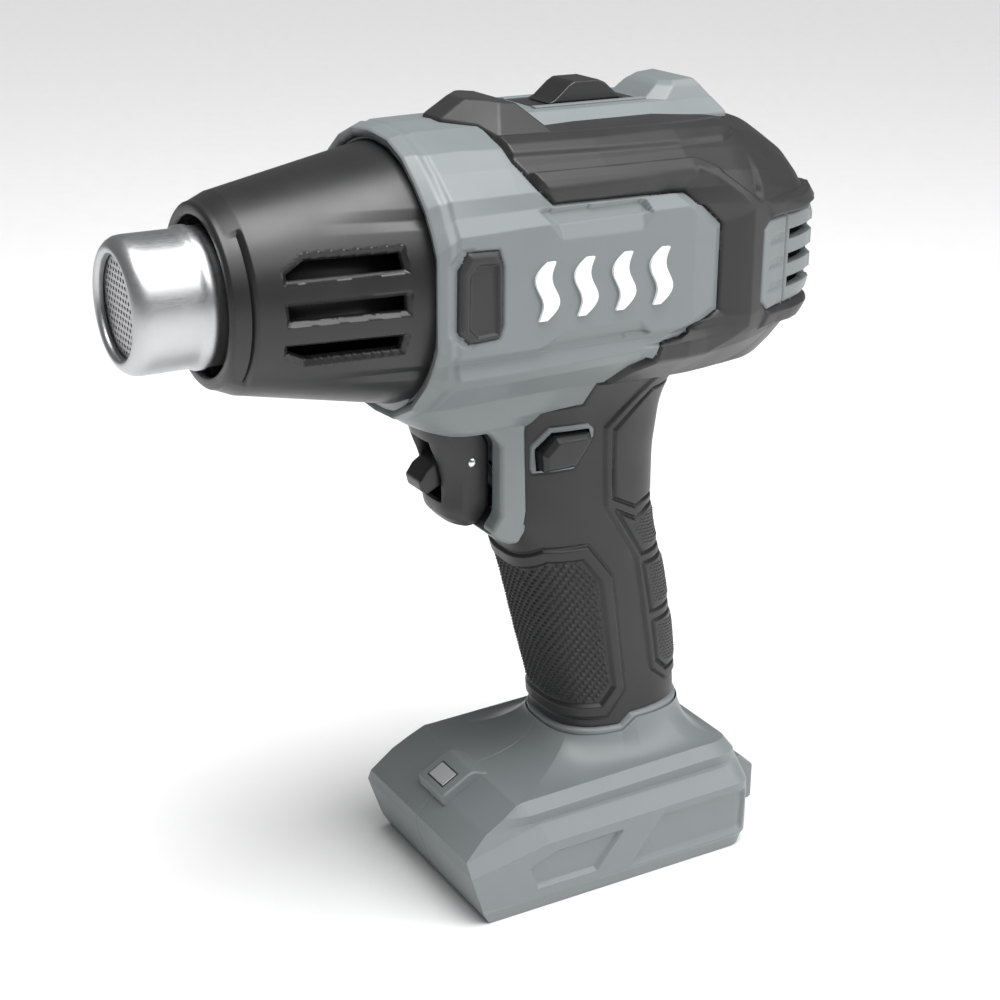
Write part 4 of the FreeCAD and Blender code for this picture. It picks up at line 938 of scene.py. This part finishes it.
for side, y_in, y_out in (("left", -41.5, -42.7), ("right", 41.5, 42.7)):
    points = []
    faces = []
    for x0 in (111.0, 123.6, 136.2, 148.8):
        outline = wave(x0)
        start = len(points)
        n = len(outline)
        points += [(x, y_in, z) for x, z in outline] + [(x, y_out, z) for x, z in outline]
        half = n // 2
        for i in range(half - 1):
            j = n - 1 - i
            faces.append((start + n + i, start + n + i + 1, start + n + j - 1, start + n + j))
            faces.append((start + i, start + j, start + j - 1, start + i + 1))
        for i in range(n):
            j = (i + 1) % n
            faces.append((start + i, start + j, start + n + j, start + n + i))
    piece = mesh_object(side + "_heat_waves", points, faces, WHITE, side + "_emblem")
    face_outwards(piece)
    piece.data.polygons.foreach_set("use_smooth", [False] * len(piece.data.polygons))

# ---- nozzle and guard ----
TUBE_LIP = [
    (5.2, 14.3), (5.4, 14.2), (4.2, 14.2), (3.4, 14.6), (3.0, 15.3), (3.1, 16.1), (3.7, 17.1),
    (4.8, 18.1), (6.2, 18.8), (8.0, 19.0),
]
TUBE_BEAD = [(21.8, 19.1), (22.6, 19.5), (23.4, 19.8), (25.0, 19.8), (25.8, 19.5), (26.6, 19.25)]
TUBE_BORE = [(84, 18.4), (27, 18.3), (24, 18.6), (21, 17.9), (8, 17.9), (6.0, 17.0), (5.4, 15.4)]
tube_front = [(x, 19.0) for x in np.linspace(10, 21, 8)]
tube_rear = [(x, 19.2) for x in np.linspace(28, 84, 12)]
tube_profile = TUBE_LIP + tube_front + TUBE_BEAD + tube_rear + TUBE_BORE
lathe("nozzle_tube_shape", tube_profile, STEEL, "nozzle_tube")
GUARD_SLOTS = [
    [(40.2, 11.2), (46.6, 15.3), (73.6, 15.6), (74.2, 8.6), (40.4, 7.8)],
    [(40.0, 3.1), (74.2, 4.0), (74.0, -2.9), (40.4, -3.6)],
    [(40.0, -8.5), (74.0, -7.8), (73.0, -14.4), (46.2, -15.6), (40.2, -12.6)],
]
RIM = 1.25
GUARD_WALL = 2.9
GUARD_REACH = 0.27
GUARD_FRONT = 27.0
GUARD_BACK = 88.0


def guard_radius(x):
    return np.interp(
        x, [GUARD_FRONT, 27.5, 31.3, 31.7, 32.6, 33.2, 85.0, GUARD_BACK],
        [25.2, 25.7, 26.6, 26.7, 27.2, 28.0, 38.4, 38.7])


def guard_grid():
    lip = np.linspace(GUARD_FRONT, 33.2, 24, endpoint=False)
    xs = np.concatenate([lip, np.linspace(33.2, GUARD_BACK, 150)])
    angles = np.linspace(0, 2 * np.pi, 620, endpoint=False)
    radius = guard_radius(xs)[:, None] + 0 * angles[None]
    along = xs[:, None] + 0 * radius
    return np.stack([along, radius * np.cos(angles)[None], radius * np.sin(angles)[None]], -1)


guard = guard_grid()
for outline in GUARD_SLOTS:
    for edge in (outline, inset(outline, RIM)):
        snap(guard, edge, GUARD_REACH, np.abs(guard[..., 1]) > 18)
gx, gy, gz = guard[..., 0], guard[..., 1], guard[..., 2]
guard_n = np.stack([-0.2 + 0 * gx, gy, gz], -1)
guard_n /= np.linalg.norm(guard_n, axis=-1, keepdims=True)
bearing = np.degrees(np.abs(np.arctan2(gz, np.abs(gy))))
relief = np.zeros(gx.shape)
# above and below, the step behind the front ring turns into a plain slope
arm = np.clip((bearing - 47) / 4, 0, 1)
slope = np.interp(gx, [28.6, 33.6], [25.95, 28.1]) - guard_radius(gx)
relief += arm * np.where((gx > 28.6) & (gx < 33.6), slope, 0)
relief -= 0.9 * groove(gx - 32.2, 0.55) * (1 - arm)
for outline in GUARD_SLOTS:
    sd = signed_distance(gx, gz, outline)
    relief -= np.where(np.abs(gy) > 18, 1.3 * rise(sd, RIM), 0)
# long faint facets towards the back of the sides
facet = np.clip((gx - 52) / 30, 0, 1)
for z_mid, half_band in ((21.6, 2.6), (-21.0, 2.4)):
    band = np.clip(1 - np.abs(gz - z_mid) / half_band, 0, 1)
    relief -= 0.9 * band * facet * np.where(np.abs(gy) > 10, 1, 0)
guard_out = guard + guard_n * relief[..., None]
guard_faces = grid_faces(*guard.shape[:2])
centre = face_centres(guard, guard_faces)
hole = np.zeros(len(centre), bool)
for outline in GUARD_SLOTS:
    hole |= (signed_distance(centre[:, 0], centre[:, 2], outline) < -RIM) & (np.abs(centre[:, 1]) > 18)
guard_back = guard - GUARD_WALL * guard_n
thick_skin("nozzle_guard_shape", guard_out, guard_back, ~hole, HARD_BLACK, "nozzle_guard")
FRONT_RING = [
    (27.0, 22.3), (26.8, 22.9), (26.8, 24.8), (27.1, 25.3), (28.5, 25.0), (30.5, 22.6), (28.5, 22.2),
]
lathe("guard_front_ring", FRONT_RING, HARD_BLACK, None)
LINER = [(34.5, 20.4), (34.5, 21.2), (60.0, 23.0), (84.0, 27.0), (84.0, 26.2), (60.0, 22.2)]
lathe("guard_liner", LINER, HARD_BLACK, None)
lathe("collar_seal", [(84.0, 36.0), (80.8, 37.6), (80.6, 38.7), (84.0, 38.9)], GRIP, None)
mouth = barrel_out[0]
inner_mouth = mouth * [1.0, 0.95, 0.95] + [0.6, 0.0, 0.0]
collar = np.concatenate([mouth, inner_mouth, inner_mouth + [4.0, 0.0, 0.0]])
mesh_object("collar_face", collar, grid_faces(3, len(mouth)), GREY, None)

# ---- carried-over inner pieces ----
LOOKS = [
    (DISC, ["nozzle_grille"]),
    (MICA, ["heater_sleeve", "heater_core", "heater_flange"]),
    (WIRE, ["heater_windings", "thermal_cutout", "motor_armature"]),
    (HARD_BLACK, [
        "air_duct", "fan_impeller", "motor_end_cap", "motor_bracket", "switch_module", "board_parts",
        "terminal_block",
    ]),
    (SCREW, ["motor_shaft", "front_bearing", "rear_bearing", "lever_spring", "trigger_spring",
        "housing_screws"]),
    (STEEL, ["motor_can"]),
    (BOARD, ["control_board", "lamp_board"]),
    (COPPER, ["terminal_blades"]),
    (GREY, ["battery_rails"]),
    (GRIP, ["handle_wires", "motor_wires", "heater_wires"]),
]
for look, node_names in LOOKS:
    for node_name in node_names:
        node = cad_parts[node_name]
        node.data.materials.clear()
        node.data.materials.append(look)

# ---- stage ----
floor_mat = grained("floor_white", (0.93, 0.93, 0.93), 0.6, grain=300.0, strength=0.02, spread=0.01)
floor_mesh = bpy.data.meshes.new("studio_floor")
bm = bmesh.new()
bmesh.ops.create_grid(bm, x_segments=2, y_segments=2, size=6.0)
bm.to_mesh(floor_mesh)
bm.free()
floor = bpy.data.objects.new("studio_floor", floor_mesh)
floor_mesh.materials.append(floor_mat)
bpy.context.collection.objects.link(floor)


def soft_light(name, place, aim, width, height, power):
    lamp = bpy.data.lights.new(name, "AREA")
    lamp.shape = "RECTANGLE"
    lamp.size = width
    lamp.size_y = height
    lamp.energy = power
    holder = bpy.data.objects.new(name, lamp)
    holder.location = place
    holder.rotation_euler = (Vector(aim) - Vector(place)).to_track_quat("-Z", "Y").to_euler()
    bpy.context.collection.objects.link(holder)


target = (0.0, 0.0, 0.13)
soft_light("top_light", (-0.1, -0.15, 1.3), target, 0.7, 0.7, 13.0)
soft_light("right_light", (0.9, -0.8, 0.5), target, 0.4, 0.8, 4.0)
sun_data = bpy.data.lights.new("broad_sky", "SUN")
sun_data.energy = 2.3
sun_data.angle = math.radians(60)
sun = bpy.data.objects.new("broad_sky", sun_data)
sun.rotation_euler = Vector((0.22, -0.48, 0.85)).to_track_quat("Z", "Y").to_euler()
bpy.context.collection.objects.link(sun)
world = bpy.data.worlds.new("studio")
world.use_nodes = True
world.node_tree.nodes["Background"].inputs["Color"].default_value = (1.0, 1.0, 1.0, 1.0)
world.node_tree.nodes["Background"].inputs["Strength"].default_value = 0.2
bpy.context.scene.world = world
bpy.context.scene.view_settings.view_transform = "Standard"

# ---- camera ----
CAM_PLACE = (-147.888, -466.784, 131.064)
YAW, PITCH, ROLL = [math.radians(a) for a in (-30.051431, 21.08626596, 0.38042492)]
back_axis = Vector((math.sin(YAW) * math.cos(PITCH), -math.cos(YAW) * math.cos(PITCH), math.sin(PITCH)))
level = Vector((math.cos(YAW), math.sin(YAW), 0.0))
rising = back_axis.cross(level)
right_axis = level * math.cos(ROLL) + rising * math.sin(ROLL)
up_axis = rising * math.cos(ROLL) - level * math.sin(ROLL)
camera_data = bpy.data.cameras.new("camera")
camera_data.sensor_width = 36.0
camera_data.lens = 67.183
camera = bpy.data.objects.new("camera", camera_data)
pose = Matrix((right_axis, up_axis, back_axis)).transposed().to_4x4()
pose.translation = Vector(to_row([CAM_PLACE])[0])
camera.matrix_world = pose
bpy.context.collection.objects.link(camera)
bpy.context.scene.camera = camera
